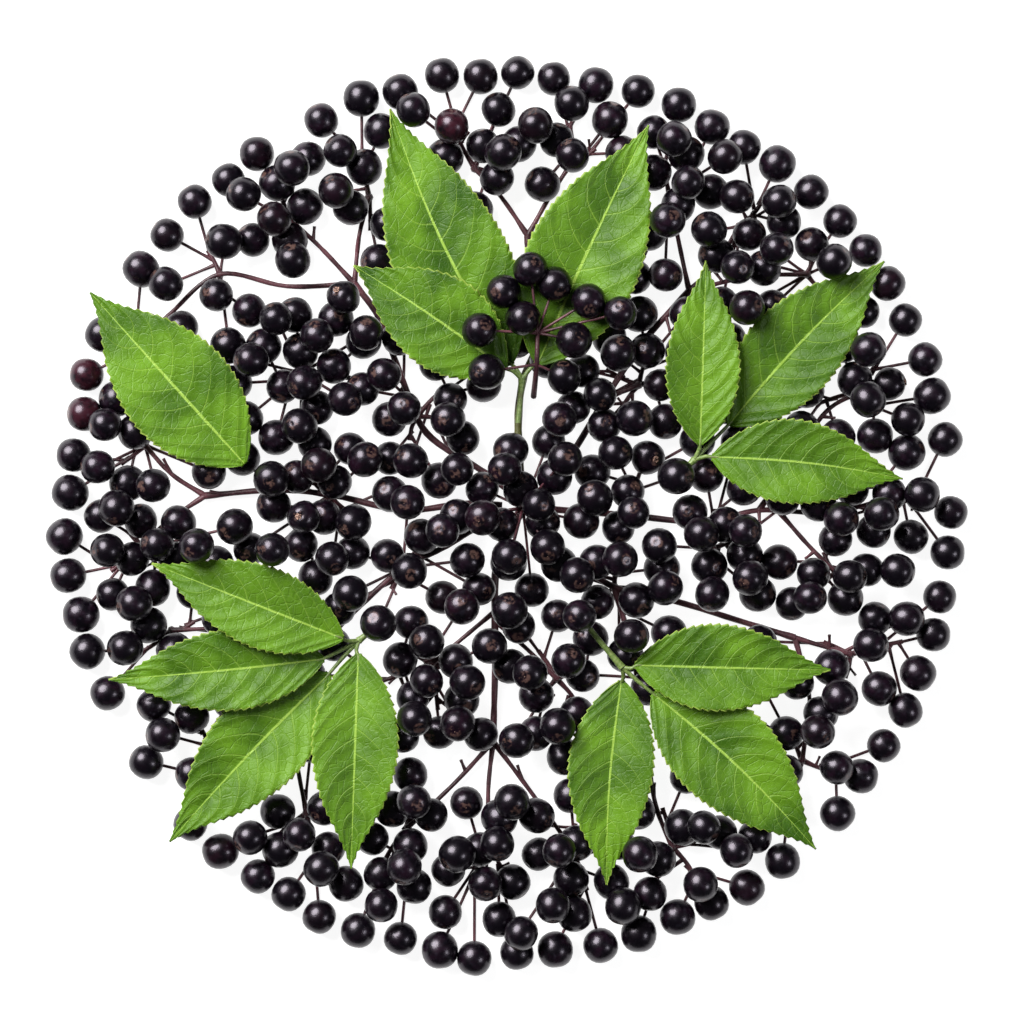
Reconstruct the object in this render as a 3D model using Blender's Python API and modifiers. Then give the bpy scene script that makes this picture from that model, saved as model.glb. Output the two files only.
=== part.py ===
"""Elderberry cluster: a flat-topped bunch with its leaves, laid down on a table.

The bunch spreads 190 mm across. Its stem and rays lie just above the table, each spray of berries
branches from the end of a ray, and fourteen leaflets rest on the lower berries. X and Y lie in the
table, Y points along the main stem, and Z is up from the table. The plan is worked out in
millimetres, and the meshes are in metres.
"""

import math
import random

import bmesh
import bpy
from mathutils import Matrix, Vector

MM = 0.001
SEED = 17

# Berries
BERRY_RADIUS = (3.3, 3.64)
RIM_ROWS = ((91.4, 69, 0.9), (84.2, 65, 0.8))
RIM_UNEVEN = 0.12
INNER_EDGE = 79.5
UPPER_EDGE = 86.6
SPACING = 7.3
SPACING_PLAY = 1.2
SPACING_UNDER_LEAF = 12.0
UNDER_LEAF = 2.0
HIDDEN_FROM_STEM = 3.0
PIT = 3.8
UPPER_SPACING = 8.0
UPPER_SPACING_OUTSIDE = 8.2
DENSE_RADIUS = 52.0
STEM_MARGIN = 0.65
STALK_MARGIN = 1.7
FLOOR_TRIES = 14000
UPPER_TRIES = 6000
SOWING_STARTS = ((0.0, -10.0), (-30.0, 36.0), (36.0, 34.0), (52.0, -34.0))
START_SPACING = 8

# Stems
GAP = 0.35
STALK_RADIUS = 0.28
TWIG_RADIUS = 0.4
TWIG_HEIGHT = 0.5
RAY_CLEARANCE = 1.25
FOOT_OFFSET = 2.2
FOOT_NEAR_TWIG = 0.8
GROUP_SIZE = 3.4
TWIG_REACH = 0.66
SHORTEST_TWIG = 5.0
STALK_STEP = 1.1
ANCHOR_STEP = 0.3
FOOT_TURNS = (0.0, 0.5, -0.5, 1.0, -1.0, 1.6, -1.6, 2.3, -2.3, math.pi)
FORK_RADIUS = 1.1
CLEAR_OF_FORK = 1.32
FORK_THICKNESS = 0.8
OVERLAP = 0.3
NECK = 0.42
NECK_RADIUS = 0.9
FACING = 0.35
STANDING = 1.2
SPIN = (1.7, 2.3)
LIMB_TILT = 0.27
LINK = 0.76
LINK_REACH = 9.5
NEARBY = 34.0
BLADE_REACH = 1.5
BLADE_MARGIN = 0.5

# Leaves
LEAF_THICKNESS = 0.45
LEAF_ARCH = 1.3
LEAF_FOLD = 0.17
LEAF_SKEW = 0.80
LEAF_FULLNESS = 0.88
LEAF_TAPER = 0.30
LEAF_TAPER_POWER = 5
LEAF_ROWS = 8
LEAF_COLUMNS = 2
LEAF_ENDS = (0.012, 0.985)
COVER_ENDS = (0.03, 0.97)
LEAF_SAMPLE = 1.5
TIER_MARGIN = 0.8
PETIOLE_RADIUS = 0.6
PETIOLE_LEAST_RISE = 5.0
LEAF_NODE_RADIUS = 0.78
PETIOLULE_RADIUS = 0.45
PETIOLULE_SHORTEST = 2.0
PETIOLULE_GAP = 1.0

HUB = (3.0, 1.5)
HUB_FORK_HEIGHT = 4.8
LEAF_EDGE = 3.2

# Leaflets: base, tip, width, bow to the left of the midrib, tier
LEAFLETS = {
    "leaflet_north_left": ((0.5, 31.0), (-24.5, 84.0), 24.0, 2.0, 0),
    "leaflet_north_right": ((6.0, 31.0), (29.0, 80.5), 24.0, 0.5, 1),
    "leaflet_north_low": ((-0.5, 30.0), (-32.0, 51.5), 19.5, -0.5, 2),
    "leaflet_west": ((-54.5, 10.5), (-86.5, 46.0), 23.0, 0.0, 0),
    "leaflet_east_upper": ((39.6, 14.4), (40.8, 52.5), 15.4, 0.0, 1),
    "leaflet_east_middle": ((45.5, 18.6), (77.8, 52.5), 19.5, 1.0, 0),
    "leaflet_east_lower": ((42.0, 12.0), (81.5, 7.5), 17.5, 1.0, 1),
    "leaflet_southwest_1": ((-34.0, -25.5), (-73.5, -10.0), 17.0, 0.0, 2),
    "leaflet_southwest_2": ((-38.0, -29.7), (-82.5, -34.0), 17.0, 0.3, 1),
    "leaflet_southwest_3": ((-37.0, -32.8), (-70.0, -67.5), 19.8, -0.6, 0),
    "leaflet_southwest_4": ((-31.0, -28.6), (-32.5, -73.0), 18.0, 0.0, 1),
    "leaflet_southeast_1": ((26.0, -31.0), (66.5, -32.0), 18.0, 0.0, 1),
    "leaflet_southeast_2": ((29.8, -36.8), (63.5, -69.0), 21.0, 1.2, 0),
    "leaflet_southeast_3": ((23.4, -34.2), (20.3, -76.5), 17.8, -1.0, 0),
}

# Leaf stalks: the points of the stalk, from its cut end to the node that its leaflets leave
LEAF_STALKS = {
    "leaf_stalk_north": (((2.0, 19.0), (2.8, 28.0)), ("north_left", "north_right", "north_low")),
    "leaf_stalk_east": (((34.5, 7.5), (38.5, 11.5)), ("east_upper", "east_middle", "east_lower")),
    "leaf_stalk_southwest": (
        ((-26.5, -22.5), (-31.0, -26.0)),
        ("southwest_1", "southwest_2", "southwest_3", "southwest_4"),
    ),
    "leaf_stalk_southeast": (
        ((14.0, -20.0), (18.0, -25.0), (23.5, -31.5)),
        ("southeast_1", "southeast_2", "southeast_3"),
    ),
}

# Stems: limbs as lists of points, with the radius at the first and the last of them
STEMS = {
    "main_stem": (
        (((3.0, 1.5), (2.0, 17.8), (3.0, 28.0), (6.0, 36.0), (4.5, 46.0), (4.0, 58.0)), 0.95, 0.7),
        (((4.0, 58.0), (-1.5, 66.0), (-7.0, 72.0)), 0.54, 0.48),
        (((4.0, 58.0), (8.5, 66.0), (13.0, 73.0)), 0.54, 0.48),
        (((3.0, 1.5), (-1.8, -7.0), (-2.8, -14.0), (-2.8, -32.0), (-3.2, -47.0)), 0.95, 0.7),
        (((-3.2, -47.0), (-11.0, -55.5), (-21.0, -65.0)), 0.54, 0.48),
        (((-3.2, -47.0), (-4.2, -57.0), (-4.0, -67.0)), 0.54, 0.48),
        (((-3.2, -47.0), (5.0, -58.0), (13.0, -69.0)), 0.54, 0.48),
        (((-2.8, -22.0), (4.0, -28.0), (10.0, -34.0)), 0.5, 0.48),
        (((-2.8, -20.0), (-10.0, -26.0), (-16.0, -31.0)), 0.5, 0.48),
    ),
    "ray_northeast": (
        (((6.2, 4.4), (13.0, 12.5), (20.0, 24.0), (28.0, 36.0), (37.5, 46.5)), 0.78, 0.7),
        (((37.5, 46.5), (35.3, 57.0), (33.5, 66.0)), 0.54, 0.48),
        (((37.5, 46.5), (43.0, 52.0), (48.0, 60.0)), 0.54, 0.48),
        (((37.5, 46.5), (50.0, 49.5), (62.0, 50.0)), 0.54, 0.48),
        (((20.0, 24.0), (27.0, 27.0)), 0.5, 0.48),
    ),
    "ray_east": (
        (((7.3, 1.3), (24.0, 0.0), (41.0, -1.5), (52.0, 1.0), (66.0, 0.5), (78.0, 3.0)), 0.78, 0.5),
        (((56.0, 0.9), (62.0, -6.0), (68.0, -12.0)), 0.54, 0.48),
        (((52.0, 1.0), (59.0, 11.0), (66.0, 21.5), (74.0, 26.0)), 0.58, 0.48),
        (((24.0, 0.0), (26.0, 5.0)), 0.5, 0.48),
        (((41.0, -1.5), (42.5, -7.0)), 0.5, 0.48),
    ),
    "ray_southeast": (
        (((6.5, -2.2), (12.0, -8.0), (22.0, -15.0), (35.0, -18.0), (48.0, -22.0), (59.5, -25.5)), 0.78, 0.65),
        (((59.5, -25.5), (71.0, -29.0)), 0.54, 0.48),
        (((59.5, -25.5), (62.5, -38.0), (61.0, -51.0)), 0.54, 0.48),
        (((22.0, -15.0), (26.0, -30.0), (28.5, -47.0), (30.5, -60.0), (34.0, -69.0)), 0.65, 0.5),
    ),
    "ray_southwest": (
        (
            ((-5.0, -1.5), (-14.0, -7.0), (-22.0, -11.0), (-34.0, -22.0), (-46.0, -35.0), (-62.0, -50.0)),
            0.78,
            0.54,
        ),
        (((-46.0, -35.0), (-44.0, -51.0), (-42.0, -62.0)), 0.54, 0.48),
        (((-34.0, -22.0), (-52.0, -23.0), (-70.0, -24.0)), 0.58, 0.48),
    ),
    "ray_west": (
        (((-1.3, 2.0), (-9.4, 2.3), (-22.0, 1.0), (-36.0, 4.0), (-48.0, 5.2), (-63.0, 4.0)), 0.78, 0.65),
        (((-63.0, 4.0), (-70.0, 8.5), (-75.5, 14.5)), 0.54, 0.48),
        (((-63.0, 4.0), (-71.0, -1.5), (-76.0, -7.0)), 0.54, 0.48),
    ),
    "ray_northwest": (
        (((-0.8, 5.8), (-6.0, 9.5), (-17.0, 17.0), (-22.0, 28.0), (-27.0, 41.0), (-32.0, 48.0)), 0.78, 0.7),
        (((-32.0, 48.0), (-31.0, 58.0), (-29.0, 66.0)), 0.54, 0.48),
        (((-32.0, 48.0), (-39.0, 55.5), (-45.0, 61.0)), 0.54, 0.48),
        (((-32.0, 48.0), (-46.0, 47.5), (-60.0, 50.0), (-70.0, 42.0), (-75.0, 37.0)), 0.58, 0.48),
        (((-22.0, 28.0), (-34.0, 28.5), (-43.0, 29.5)), 0.54, 0.48),
    ),
}

# Sprays: the place of each one's fork
SPRAYS = {
    "spray_north_1": (-7.0, 72.0),
    "spray_north_2": (13.0, 73.0),
    "spray_northeast_1": (33.5, 66.0),
    "spray_northeast_2": (48.0, 60.0),
    "spray_northeast_3": (62.0, 50.0),
    "spray_east_1": (74.0, 26.0),
    "spray_east_2": (78.0, 3.0),
    "spray_east_3": (68.0, -12.0),
    "spray_southeast_1": (71.0, -29.0),
    "spray_southeast_2": (61.0, -51.0),
    "spray_south_1": (34.0, -69.0),
    "spray_south_2": (13.0, -69.0),
    "spray_south_3": (-4.0, -67.0),
    "spray_south_4": (-21.0, -65.0),
    "spray_southwest_1": (-42.0, -62.0),
    "spray_southwest_2": (-62.0, -50.0),
    "spray_southwest_3": (-70.0, -24.0),
    "spray_west_1": (-76.0, -7.0),
    "spray_west_2": (-75.5, 14.5),
    "spray_west_3": (-75.0, 37.0),
    "spray_northwest_1": (-60.0, 50.0),
    "spray_northwest_2": (-45.0, 61.0),
    "spray_northwest_3": (-29.0, 66.0),
    "spray_inner_northwest_1": (-43.0, 29.5),
    "spray_inner_northwest_2": (-19.0, 20.5),
    "spray_inner_west": (-37.0, 3.9),
    "spray_inner_southwest": (-22.0, -11.0),
    "spray_inner_south_1": (-16.0, -31.0),
    "spray_inner_south_2": (10.0, -34.0),
    "spray_inner_southeast": (22.0, -15.0),
    "spray_inner_east_1": (26.0, 5.0),
    "spray_inner_east_2": (42.5, -7.0),
    "spray_inner_northeast": (27.0, 27.0),
    "spray_centre": HUB,
}
CENTRE = "spray_centre"

# The spray that lies over the leaf bases: the way of its twig, where the blades that it crosses are
# highest under it, as s and u, and its berries' places
RAISED_SPRAY = "spray_over_leaves"
RAISED_START = 5.2
RAISED_FOOT = [(5.2, 24.5), (5.5, 27.0)]
RAISED_SLOPE = 0.4
RAISED_CROSSING = (0.15, 4.0)
RAISED_OVER = 1.6
RAISED_TWIG = ((5.2, 24.5), (5.8, 31.0), (6.0, 37.5))
RAISED_BERRIES = (
    (-1.0, 46.0), (9.5, 47.5), (16.5, 44.0), (-6.0, 38.0), (3.0, 40.5),
    (13.5, 36.0), (23.0, 41.5), (-4.5, 29.5), (4.5, 50.5), (11.5, 28.5),
)

# Upper berries that lie over the cut ends of the leaf stalks
COVERING_BERRIES = ((2.4, 20.2), (34.6, 8.0), (-26.8, -22.3), (14.6, -20.8))

# Clearings in the berries: centre, half length, half width, tilt in degrees
CLEARINGS = (
    (4, 60, 7.5, 9, 0), (-36, 56, 5.5, 8, 0), (-40, 48.5, 9, 3, 0), (-62, 3, 9.5, 5.5, 0),
    (-4, -53, 8, 6.5, 0), (-13, -50, 6, 5, 0), (6, -56, 4, 8, 30), (38, 52, 4.5, 7, 0),
    (48, 47.5, 7, 3, 15), (33, 41, 3, 5, -30), (66, 21, 6, 4, 0), (61, -22, 14, 3, -12),
    (60, -5, 9, 3.5, -30), (48, 1.5, 9, 2.5, 0), (31, -62, 3.5, 8, 0), (-4, 22, 4, 5, 0),
    (-11, 27, 4, 2.5, 0), (-63, 42, 6, 2.2, -15), (-6, 11, 3, 3.5, 0), (6, -27, 4, 4, 0),
    (-24, -37, 3.5, 7, 0), (-69, -24, 4, 4, 0), (54, -41, 5, 2, 0), (17, 12, 4, 3, 0),
    (45, 7, 4, 4, 0), (26, -33, 4, 4, 0), (-33, -25, 3, 3, 0), (40, 12, 3, 3, 0),
)

# Finishes: colour and roughness
FINISHES = {
    "berry_skin": ((0.012, 0.006, 0.014, 1.0), 0.28),
    "stem_bark": ((0.085, 0.028, 0.040, 1.0), 0.5),
    "green_stalk": ((0.110, 0.150, 0.030, 1.0), 0.45),
    "leaf_blade": ((0.085, 0.240, 0.030, 1.0), 0.42),
}
WELD = 0.00001


# ---------------------------------------------------------------- plan geometry

def nearest_on(a, b, p):
    """The point of the segment from a to b that is nearest p, in as many dimensions as they have."""
    ab = [j - i for i, j in zip(a, b)]
    ap = [j - i for i, j in zip(a, p)]
    along = sum(i * j for i, j in zip(ab, ap)) / max(sum(i * i for i in ab), 1e-9)
    along = min(max(along, 0.0), 1.0)
    return tuple(i + along * j for i, j in zip(a, ab))


def distance_to(a, b, p):
    return math.dist(nearest_on(a, b, p), p)


def segment_distance(a, b, c, d, steps=12):
    """Distance between two short segments, from points along the first."""
    points = [tuple(i + (j - i) * k / steps for i, j in zip(a, b)) for k in range(steps + 1)]
    return min(distance_to(c, d, p) for p in points)


def in_clearing(x, y):
    for cx, cy, half_length, half_width, tilt in CLEARINGS:
        turn = math.radians(tilt)
        along = (x - cx) * math.cos(turn) + (y - cy) * math.sin(turn)
        across = (y - cy) * math.cos(turn) - (x - cx) * math.sin(turn)
        if (along / half_length) ** 2 + (across / half_width) ** 2 < 1.0:
            return True
    return False


class Leaflet:
    """A leaf blade as a height field over its own midrib: s runs from base to tip, u to the left."""

    def __init__(self, name):
        self.name = name
        self.base, tip, self.width, self.bow, self.tier = LEAFLETS[name]
        self.length = math.dist(self.base, tip)
        self.along = ((tip[0] - self.base[0]) / self.length, (tip[1] - self.base[1]) / self.length)
        self.rest = 0.0

    def half_width(self, s):
        if not 0.0 < s < 1.0:
            return 0.0
        full = math.sin(math.pi * s**LEAF_SKEW) ** LEAF_FULLNESS
        return self.width / 2 * full * (1.0 - LEAF_TAPER * s**LEAF_TAPER_POWER)

    def bend(self, s):
        return self.bow * math.sin(math.pi * min(max(s, 0.0), 1.0))

    def plan(self, s, u):
        ax, ay = self.along
        along, across = self.length * s, u + self.bend(s)
        return self.base[0] + ax * along - ay * across, self.base[1] + ay * along + ax * across

    def local(self, x, y):
        ax, ay = self.along
        dx, dy = x - self.base[0], y - self.base[1]
        s = (dx * ax + dy * ay) / self.length
        return s, dy * ax - dx * ay - self.bend(s)

    def shape(self, s, u):
        """Height above the blade's own resting plane."""
        return LEAF_ARCH * math.sin(math.pi * s) + LEAF_FOLD * abs(u)

    def height(self, s, u):
        return self.rest + self.shape(s, u)

    def covers(self, x, y, margin):
        """Whether the blade, grown by a margin, lies over a place."""
        s, u = self.local(x, y)
        reach = margin / self.length
        if not -reach < s < 1.0 + reach:
            return False
        return abs(u) < self.half_width(min(max(s, COVER_ENDS[0]), COVER_ENDS[1])) + margin

    def samples(self):
        """Points all over the blade, about a sample's step apart."""
        rows = int(self.length / LEAF_SAMPLE)
        for i in range(rows + 1):
            s = i / rows
            half = self.half_width(s)
            columns = max(1, int(half / LEAF_SAMPLE))
            for j in range(-columns, columns + 1):
                yield s, half * j / columns


class Berry:
    """A berry with its stalk: the places in plan that the stalk passes, from its twig to its foot."""

    def __init__(self, x, y, radius, upper):
        self.x, self.y, self.radius, self.upper = x, y, radius, upper
        self.z = radius
        self.anchor = self.foot = (x, y)

    @property
    def centre(self):
        return self.x, self.y, self.z

    def run(self):
        height = HUB_FORK_HEIGHT if self.anchor == HUB else TWIG_HEIGHT
        return (*self.anchor, height), (*self.foot, height)


# ---------------------------------------------------------------- where the berries lie

def far(x, y, spots, spacing):
    limit = spacing * spacing
    return all((x - i) ** 2 + (y - j) ** 2 > limit for i, j in spots)


def stem_segments():
    """Every straight stretch of the stems, as two points and the radius there, at its height."""
    for limbs in STEMS.values():
        for points, first, last in limbs:
            for k in range(len(points) - 1):
                radii = [first + (last - first) * (k + i) / (len(points) - 1) for i in (0, 1)]
                ends = [(*points[k + i], RAY_CLEARANCE + radii[i]) for i in (0, 1)]
                yield ends[0], ends[1], radii[0], radii[1]


def stalk_segments():
    for points, _ in LEAF_STALKS.values():
        yield from zip(points[:-1], points[1:])


def over_stem(x, y, stems):
    return any(distance_to(a[:2], b[:2], (x, y)) < first + STEM_MARGIN for a, b, first, _ in stems)


def holder(berry, lower):
    """The lower berry that an upper one is tied to, or None where they are all too far away."""
    nearest = min(lower, key=lambda other: math.dist(other.centre, berry.centre), default=None)
    return nearest if nearest and math.dist(nearest.centre, berry.centre) < LINK_REACH else None


def upper_spots(rng, leaflets, stems):
    """Places of the berries that lie on the others, each over a pit where its stalk comes up."""
    stalks = list(stalk_segments()) + list(zip(RAISED_TWIG[:-1], RAISED_TWIG[1:]))
    spots = list(COVERING_BERRIES)
    for _ in range(UPPER_TRIES):
        reach, turn = UPPER_EDGE * math.sqrt(rng.random()), rng.uniform(0.0, math.tau)
        x, y = reach * math.cos(turn), reach * math.sin(turn)
        if in_clearing(x, y) or any(leaf.covers(x, y, LEAF_EDGE) for leaf in leaflets):
            continue
        dense = reach < DENSE_RADIUS
        if not dense and over_stem(x, y, stems):
            continue
        if any(distance_to(a, b, (x, y)) < STALK_MARGIN for a, b in stalks):
            continue
        if not far(x, y, RAISED_BERRIES, SPACING + GAP):
            continue
        if far(x, y, spots, UPPER_SPACING if dense else UPPER_SPACING_OUTSIDE):
            spots.append((x, y))
    return spots


def floor_spots(rng, leaflets, stems, upper):
    """Places of the berries on the table: two rows round the rim, then close beside one another."""
    spots = []
    for row, (reach, count, play) in enumerate(RIM_ROWS):
        for k in range(count):
            turn = math.tau * (k + 0.5 * row + rng.uniform(-RIM_UNEVEN, RIM_UNEVEN)) / count
            away = reach + rng.uniform(-play, play)
            x, y = away * math.cos(turn), away * math.sin(turn)
            if far(x, y, spots, SPACING) and far(x, y, upper, PIT):
                spots.append((x, y))
    upper = upper + RAISED_FOOT
    spots.extend(start for start in SOWING_STARTS if far(*start, spots, START_SPACING))
    for _ in range(FLOOR_TRIES):
        beside = spots[rng.randrange(len(spots))]
        reach, turn = SPACING + SPACING_PLAY * rng.random(), rng.uniform(0.0, math.tau)
        x, y = beside[0] + reach * math.cos(turn), beside[1] + reach * math.sin(turn)
        if math.hypot(x, y) > INNER_EDGE or in_clearing(x, y) or not far(x, y, upper, PIT):
            continue
        covered = any(leaf.covers(x, y, -UNDER_LEAF) for leaf in leaflets)
        if covered and any(distance_to(a[:2], b[:2], (x, y)) < HIDDEN_FROM_STEM for a, b, _, _ in stems):
            continue
        if far(x, y, spots, SPACING_UNDER_LEAF if covered else SPACING):
            spots.append((x, y))
    return spots


def nearest_spray(x, y):
    return min(SPRAYS, key=lambda name: math.dist(SPRAYS[name], (x, y)))


def share_out(floor, upper, rng):
    """The berries of each spray, by the fork that each is nearest."""
    sprays = {name: [] for name in SPRAYS}
    for spots, is_upper in ((floor, False), (upper, True)):
        for x, y in spots:
            sprays[nearest_spray(x, y)].append(Berry(x, y, rng.uniform(*BERRY_RADIUS), is_upper))
    return sprays


def anchors_on(twigs, used, place):
    """Places on the twigs a stalk's width from the other stalks and the joints, the nearest first."""
    choices = []
    for a, b in twigs:
        length = math.dist(a, b)
        steps = int((length - 2 * FORK_RADIUS) / ANCHOR_STEP)
        for k in range(steps + 1):
            along = (CLEAR_OF_FORK + ANCHOR_STEP * k) / length
            spot = tuple(i + (j - i) * along for i, j in zip(a, b))
            if all(math.dist(spot, other) > STALK_STEP for other in used):
                choices.append(spot)
    return sorted(choices, key=lambda spot: math.dist(spot, place))


def group_stalks(fork, berries):
    """Grows a twig for every few of the lower berries and ties each stalk to a twig. Returns the twigs."""
    if fork == HUB:
        for berry in berries:
            berry.anchor = berry.foot = HUB
        return []
    lower = [b for b in berries if not b.upper]
    around = sorted(lower, key=lambda b: math.atan2(b.y - fork[1], b.x - fork[0]))
    count = max(1, round(len(around) / GROUP_SIZE))
    twigs = []
    for k in range(count):
        group = around[k * len(around) // count:(k + 1) * len(around) // count]
        middle = [sum(getattr(b, side) for b in group) / len(group) for side in ("x", "y")]
        away = max(math.dist(fork, middle), 0.1)
        reach = max(TWIG_REACH * away, SHORTEST_TWIG)
        twigs.append((fork, tuple(f + (m - f) / away * reach for f, m in zip(fork, middle))))
    used = []
    for berry in lower + [b for b in berries if b.upper]:
        berry.anchor = next(iter(anchors_on(twigs, used, (berry.x, berry.y))), fork)
        used.append(berry.anchor)
    return twigs


def place_foot(berry, stems):
    """Sets where a stalk leaves the table. Returns False where no side of the berry is clear of a stem."""
    if berry.anchor == HUB:
        return True
    if berry.upper:
        berry.foot = (berry.x, berry.y)
        return True
    towards = math.atan2(berry.anchor[1] - berry.y, berry.anchor[0] - berry.x)
    feet = [
        (berry.x + FOOT_OFFSET * math.cos(towards + turn), berry.y + FOOT_OFFSET * math.sin(towards + turn))
        for turn in FOOT_TURNS
    ]
    if math.dist(berry.anchor, (berry.x, berry.y)) < FOOT_OFFSET + FOOT_NEAR_TWIG:
        feet.insert(0, berry.anchor)
    for foot in feet:
        rise = (*foot, TWIG_HEIGHT), berry.centre
        if all(segment_distance(*rise, a, b) > max(r) + NECK_RADIUS + GAP for a, b, *r in stems):
            berry.foot = foot
            return True
    return False


def settle(x, y, radius, start, balls, rods):
    """Height at which a berry comes to rest on balls (centre, radius) and rods (ends, radius)."""
    z = start
    for (bx, by, bz), ball in balls:
        reach = radius + ball + GAP
        apart = math.hypot(x - bx, y - by)
        if apart < reach:
            z = max(z, bz + math.sqrt(reach * reach - apart * apart))
    for a, b, rod in rods:
        near = nearest_on(a[:2], b[:2], (x, y))
        reach = radius + rod + GAP
        apart = math.dist(near, (x, y))
        if apart < reach:
            z = max(z, max(a[2], b[2]) + math.sqrt(reach * reach - apart * apart))
    return z


def blade_balls(leaflets, x, y, radius):
    """The parts of the blades that a berry at x, y can touch, as balls of no size."""
    for leaf in leaflets:
        if leaf.covers(x, y, radius + BLADE_MARGIN):
            for s, u in leaf.samples():
                px, py = leaf.plan(s, u)
                if math.hypot(px - x, py - y) < radius + GAP:
                    yield (px, py, leaf.height(s, u) + LEAF_THICKNESS / 2), 0.0


def lay_berries(sprays, twigs, stems):
    """Sets the height of the lower berries, each on the table or on the stems under it."""
    rods = [(a, b, max(first, last)) for a, b, first, last in stems]
    for ways in twigs.values():
        rods += [((*a, TWIG_HEIGHT), (*b, TWIG_HEIGHT), TWIG_RADIUS) for a, b in ways]
    runs = [(berry, *berry.run()) for berries in sprays.values() for berry in berries]
    for berries in sprays.values():
        for berry in [b for b in berries if not b.upper]:
            others = [(a, b, STALK_RADIUS) for owner, a, b in runs if owner is not berry]
            berry.z = settle(berry.x, berry.y, berry.radius, berry.radius, (), rods + others)


def rest_leaflets(leaflets, berries):
    """Lays each blade on the lower berries and on the blades of the tiers below it."""
    laid = []
    for leaf in sorted(leaflets, key=lambda leaf: leaf.tier):
        need = 0.0
        near = [b for b in berries if leaf.covers(b.x, b.y, b.radius)]
        under = [other for other in laid if other.tier < leaf.tier]
        for s, u in leaf.samples():
            x, y = leaf.plan(s, u)
            for b in near:
                apart = math.hypot(b.x - x, b.y - y)
                if apart < b.radius:
                    top = b.z + math.sqrt(b.radius**2 - apart**2)
                    need = max(need, top + GAP - leaf.shape(s, u))
            for other in under:
                if other.covers(x, y, TIER_MARGIN):
                    top = other.height(*other.local(x, y)) + LEAF_THICKNESS
                    need = max(need, top + GAP - leaf.shape(s, u))
        leaf.rest = need + LEAF_THICKNESS / 2
        laid.append(leaf)


def stalk_height(ways, berries, radius):
    """The height at which a leaf stalk and its branches clear the lower berries under them."""
    height = RAY_CLEARANCE + PETIOLE_LEAST_RISE
    for a, b in ways:
        for berry in berries:
            apart = distance_to(a, b, (berry.x, berry.y))
            reach = berry.radius + radius + GAP
            if apart < reach:
                height = max(height, berry.z + math.sqrt(reach * reach - apart * apart))
    return height


class Cluster:
    """The whole bunch, worked out from its driving dimensions."""

    def __init__(self):
        rng = random.Random(SEED)
        self.leaflets = [Leaflet(name) for name in LEAFLETS]
        self.stems = list(stem_segments())
        upper = upper_spots(rng, self.leaflets, self.stems)
        floor = floor_spots(rng, self.leaflets, self.stems, upper)
        self.sprays = share_out(floor, upper, rng)
        self.twigs = {name: group_stalks(SPRAYS[name], self.sprays[name]) for name in SPRAYS}
        for _ in range(2):
            self.drop_blocked()
            lay_berries(self.sprays, self.twigs, self.stems)
        self.drop_blocked()
        lower = [b for berries in self.sprays.values() for b in berries if not b.upper]
        rest_leaflets(self.leaflets, lower)
        self.lay_leaf_stalks(lower)
        self.lay_upper(lower)
        self.drop_unheld()
        self.raise_spray(rng)

    def drop_blocked(self):
        for name, berries in self.sprays.items():
            self.sprays[name] = [berry for berry in berries if place_foot(berry, self.stems)]

    def drop_unheld(self):
        """Leaves out the upper berries over a stem that no lower berry of their spray can hold."""
        for name, berries in self.sprays.items():
            lower = [berry for berry in berries if not berry.upper]
            self.sprays[name] = lower + [
                berry
                for berry in berries
                if berry.upper and (holder(berry, lower) or not over_stem(berry.x, berry.y, self.stems))
            ]

    def lay_leaf_stalks(self, lower):
        """Sets each leaf stalk's path, and the leaflets that it carries."""
        self.leaf_stalks = {}
        named = {leaf.name.removeprefix("leaflet_"): leaf for leaf in self.leaflets}
        for name, (points, carried) in LEAF_STALKS.items():
            leaves = [named[key] for key in carried]
            ways = list(zip(points[:-1], points[1:]))
            ways += [(points[-1], leaf.base) for leaf in leaves]
            height = stalk_height(ways, lower, PETIOLE_RADIUS)
            self.leaf_stalks[name] = [(*point, height) for point in points], leaves

    def lay_upper(self, lower):
        """Lays each upper berry on the lower ones, the stems, the leaf stalks and the blades."""
        balls = [(b.centre, b.radius) for b in lower]
        rods = [(a, b, max(first, last)) for a, b, first, last in self.stems]
        for path, leaves in self.leaf_stalks.values():
            rods += [(a, b, PETIOLE_RADIUS) for a, b in zip(path[:-1], path[1:])]
            rods += [(path[-1], (*leaf.base, path[-1][2]), PETIOLE_RADIUS) for leaf in leaves]
        for berries in self.sprays.values():
            for berry in [b for b in berries if b.upper]:
                blades = list(blade_balls(self.leaflets, berry.x, berry.y, berry.radius))
                berry.z = settle(berry.x, berry.y, berry.radius, berry.radius, balls + blades, rods)

    def raise_spray(self, rng):
        """Lays the raised spray over the leaf bases, its berries on the blades."""
        balls = [(b.centre, b.radius) for berries in self.sprays.values() for b in berries]
        path, _ = self.leaf_stalks["leaf_stalk_north"]
        rods = [(a, b, PETIOLE_RADIUS) for a, b in zip(path[:-1], path[1:])]
        self.raised = []
        for x, y in RAISED_BERRIES:
            berry = Berry(x, y, rng.uniform(*BERRY_RADIUS), True)
            blades = list(blade_balls(self.leaflets, x, y, berry.radius))
            berry.z = settle(x, y, berry.radius, berry.radius, balls + blades, rods)
            self.raised.append(berry)
        _, crossed = self.leaf_stalks["leaf_stalk_north"]
        self.raised_height = max(leaf.height(*RAISED_CROSSING) for leaf in crossed) + RAISED_OVER


# ---------------------------------------------------------------- meshes

def material(name):
    colour, roughness = FINISHES[name]
    made = bpy.data.materials.new(name)
    made.use_nodes = True
    shader = made.node_tree.nodes["Principled BSDF"]
    shader.inputs["Base Color"].default_value = colour
    shader.inputs["Roughness"].default_value = roughness
    made.diffuse_color = colour
    return made


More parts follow.
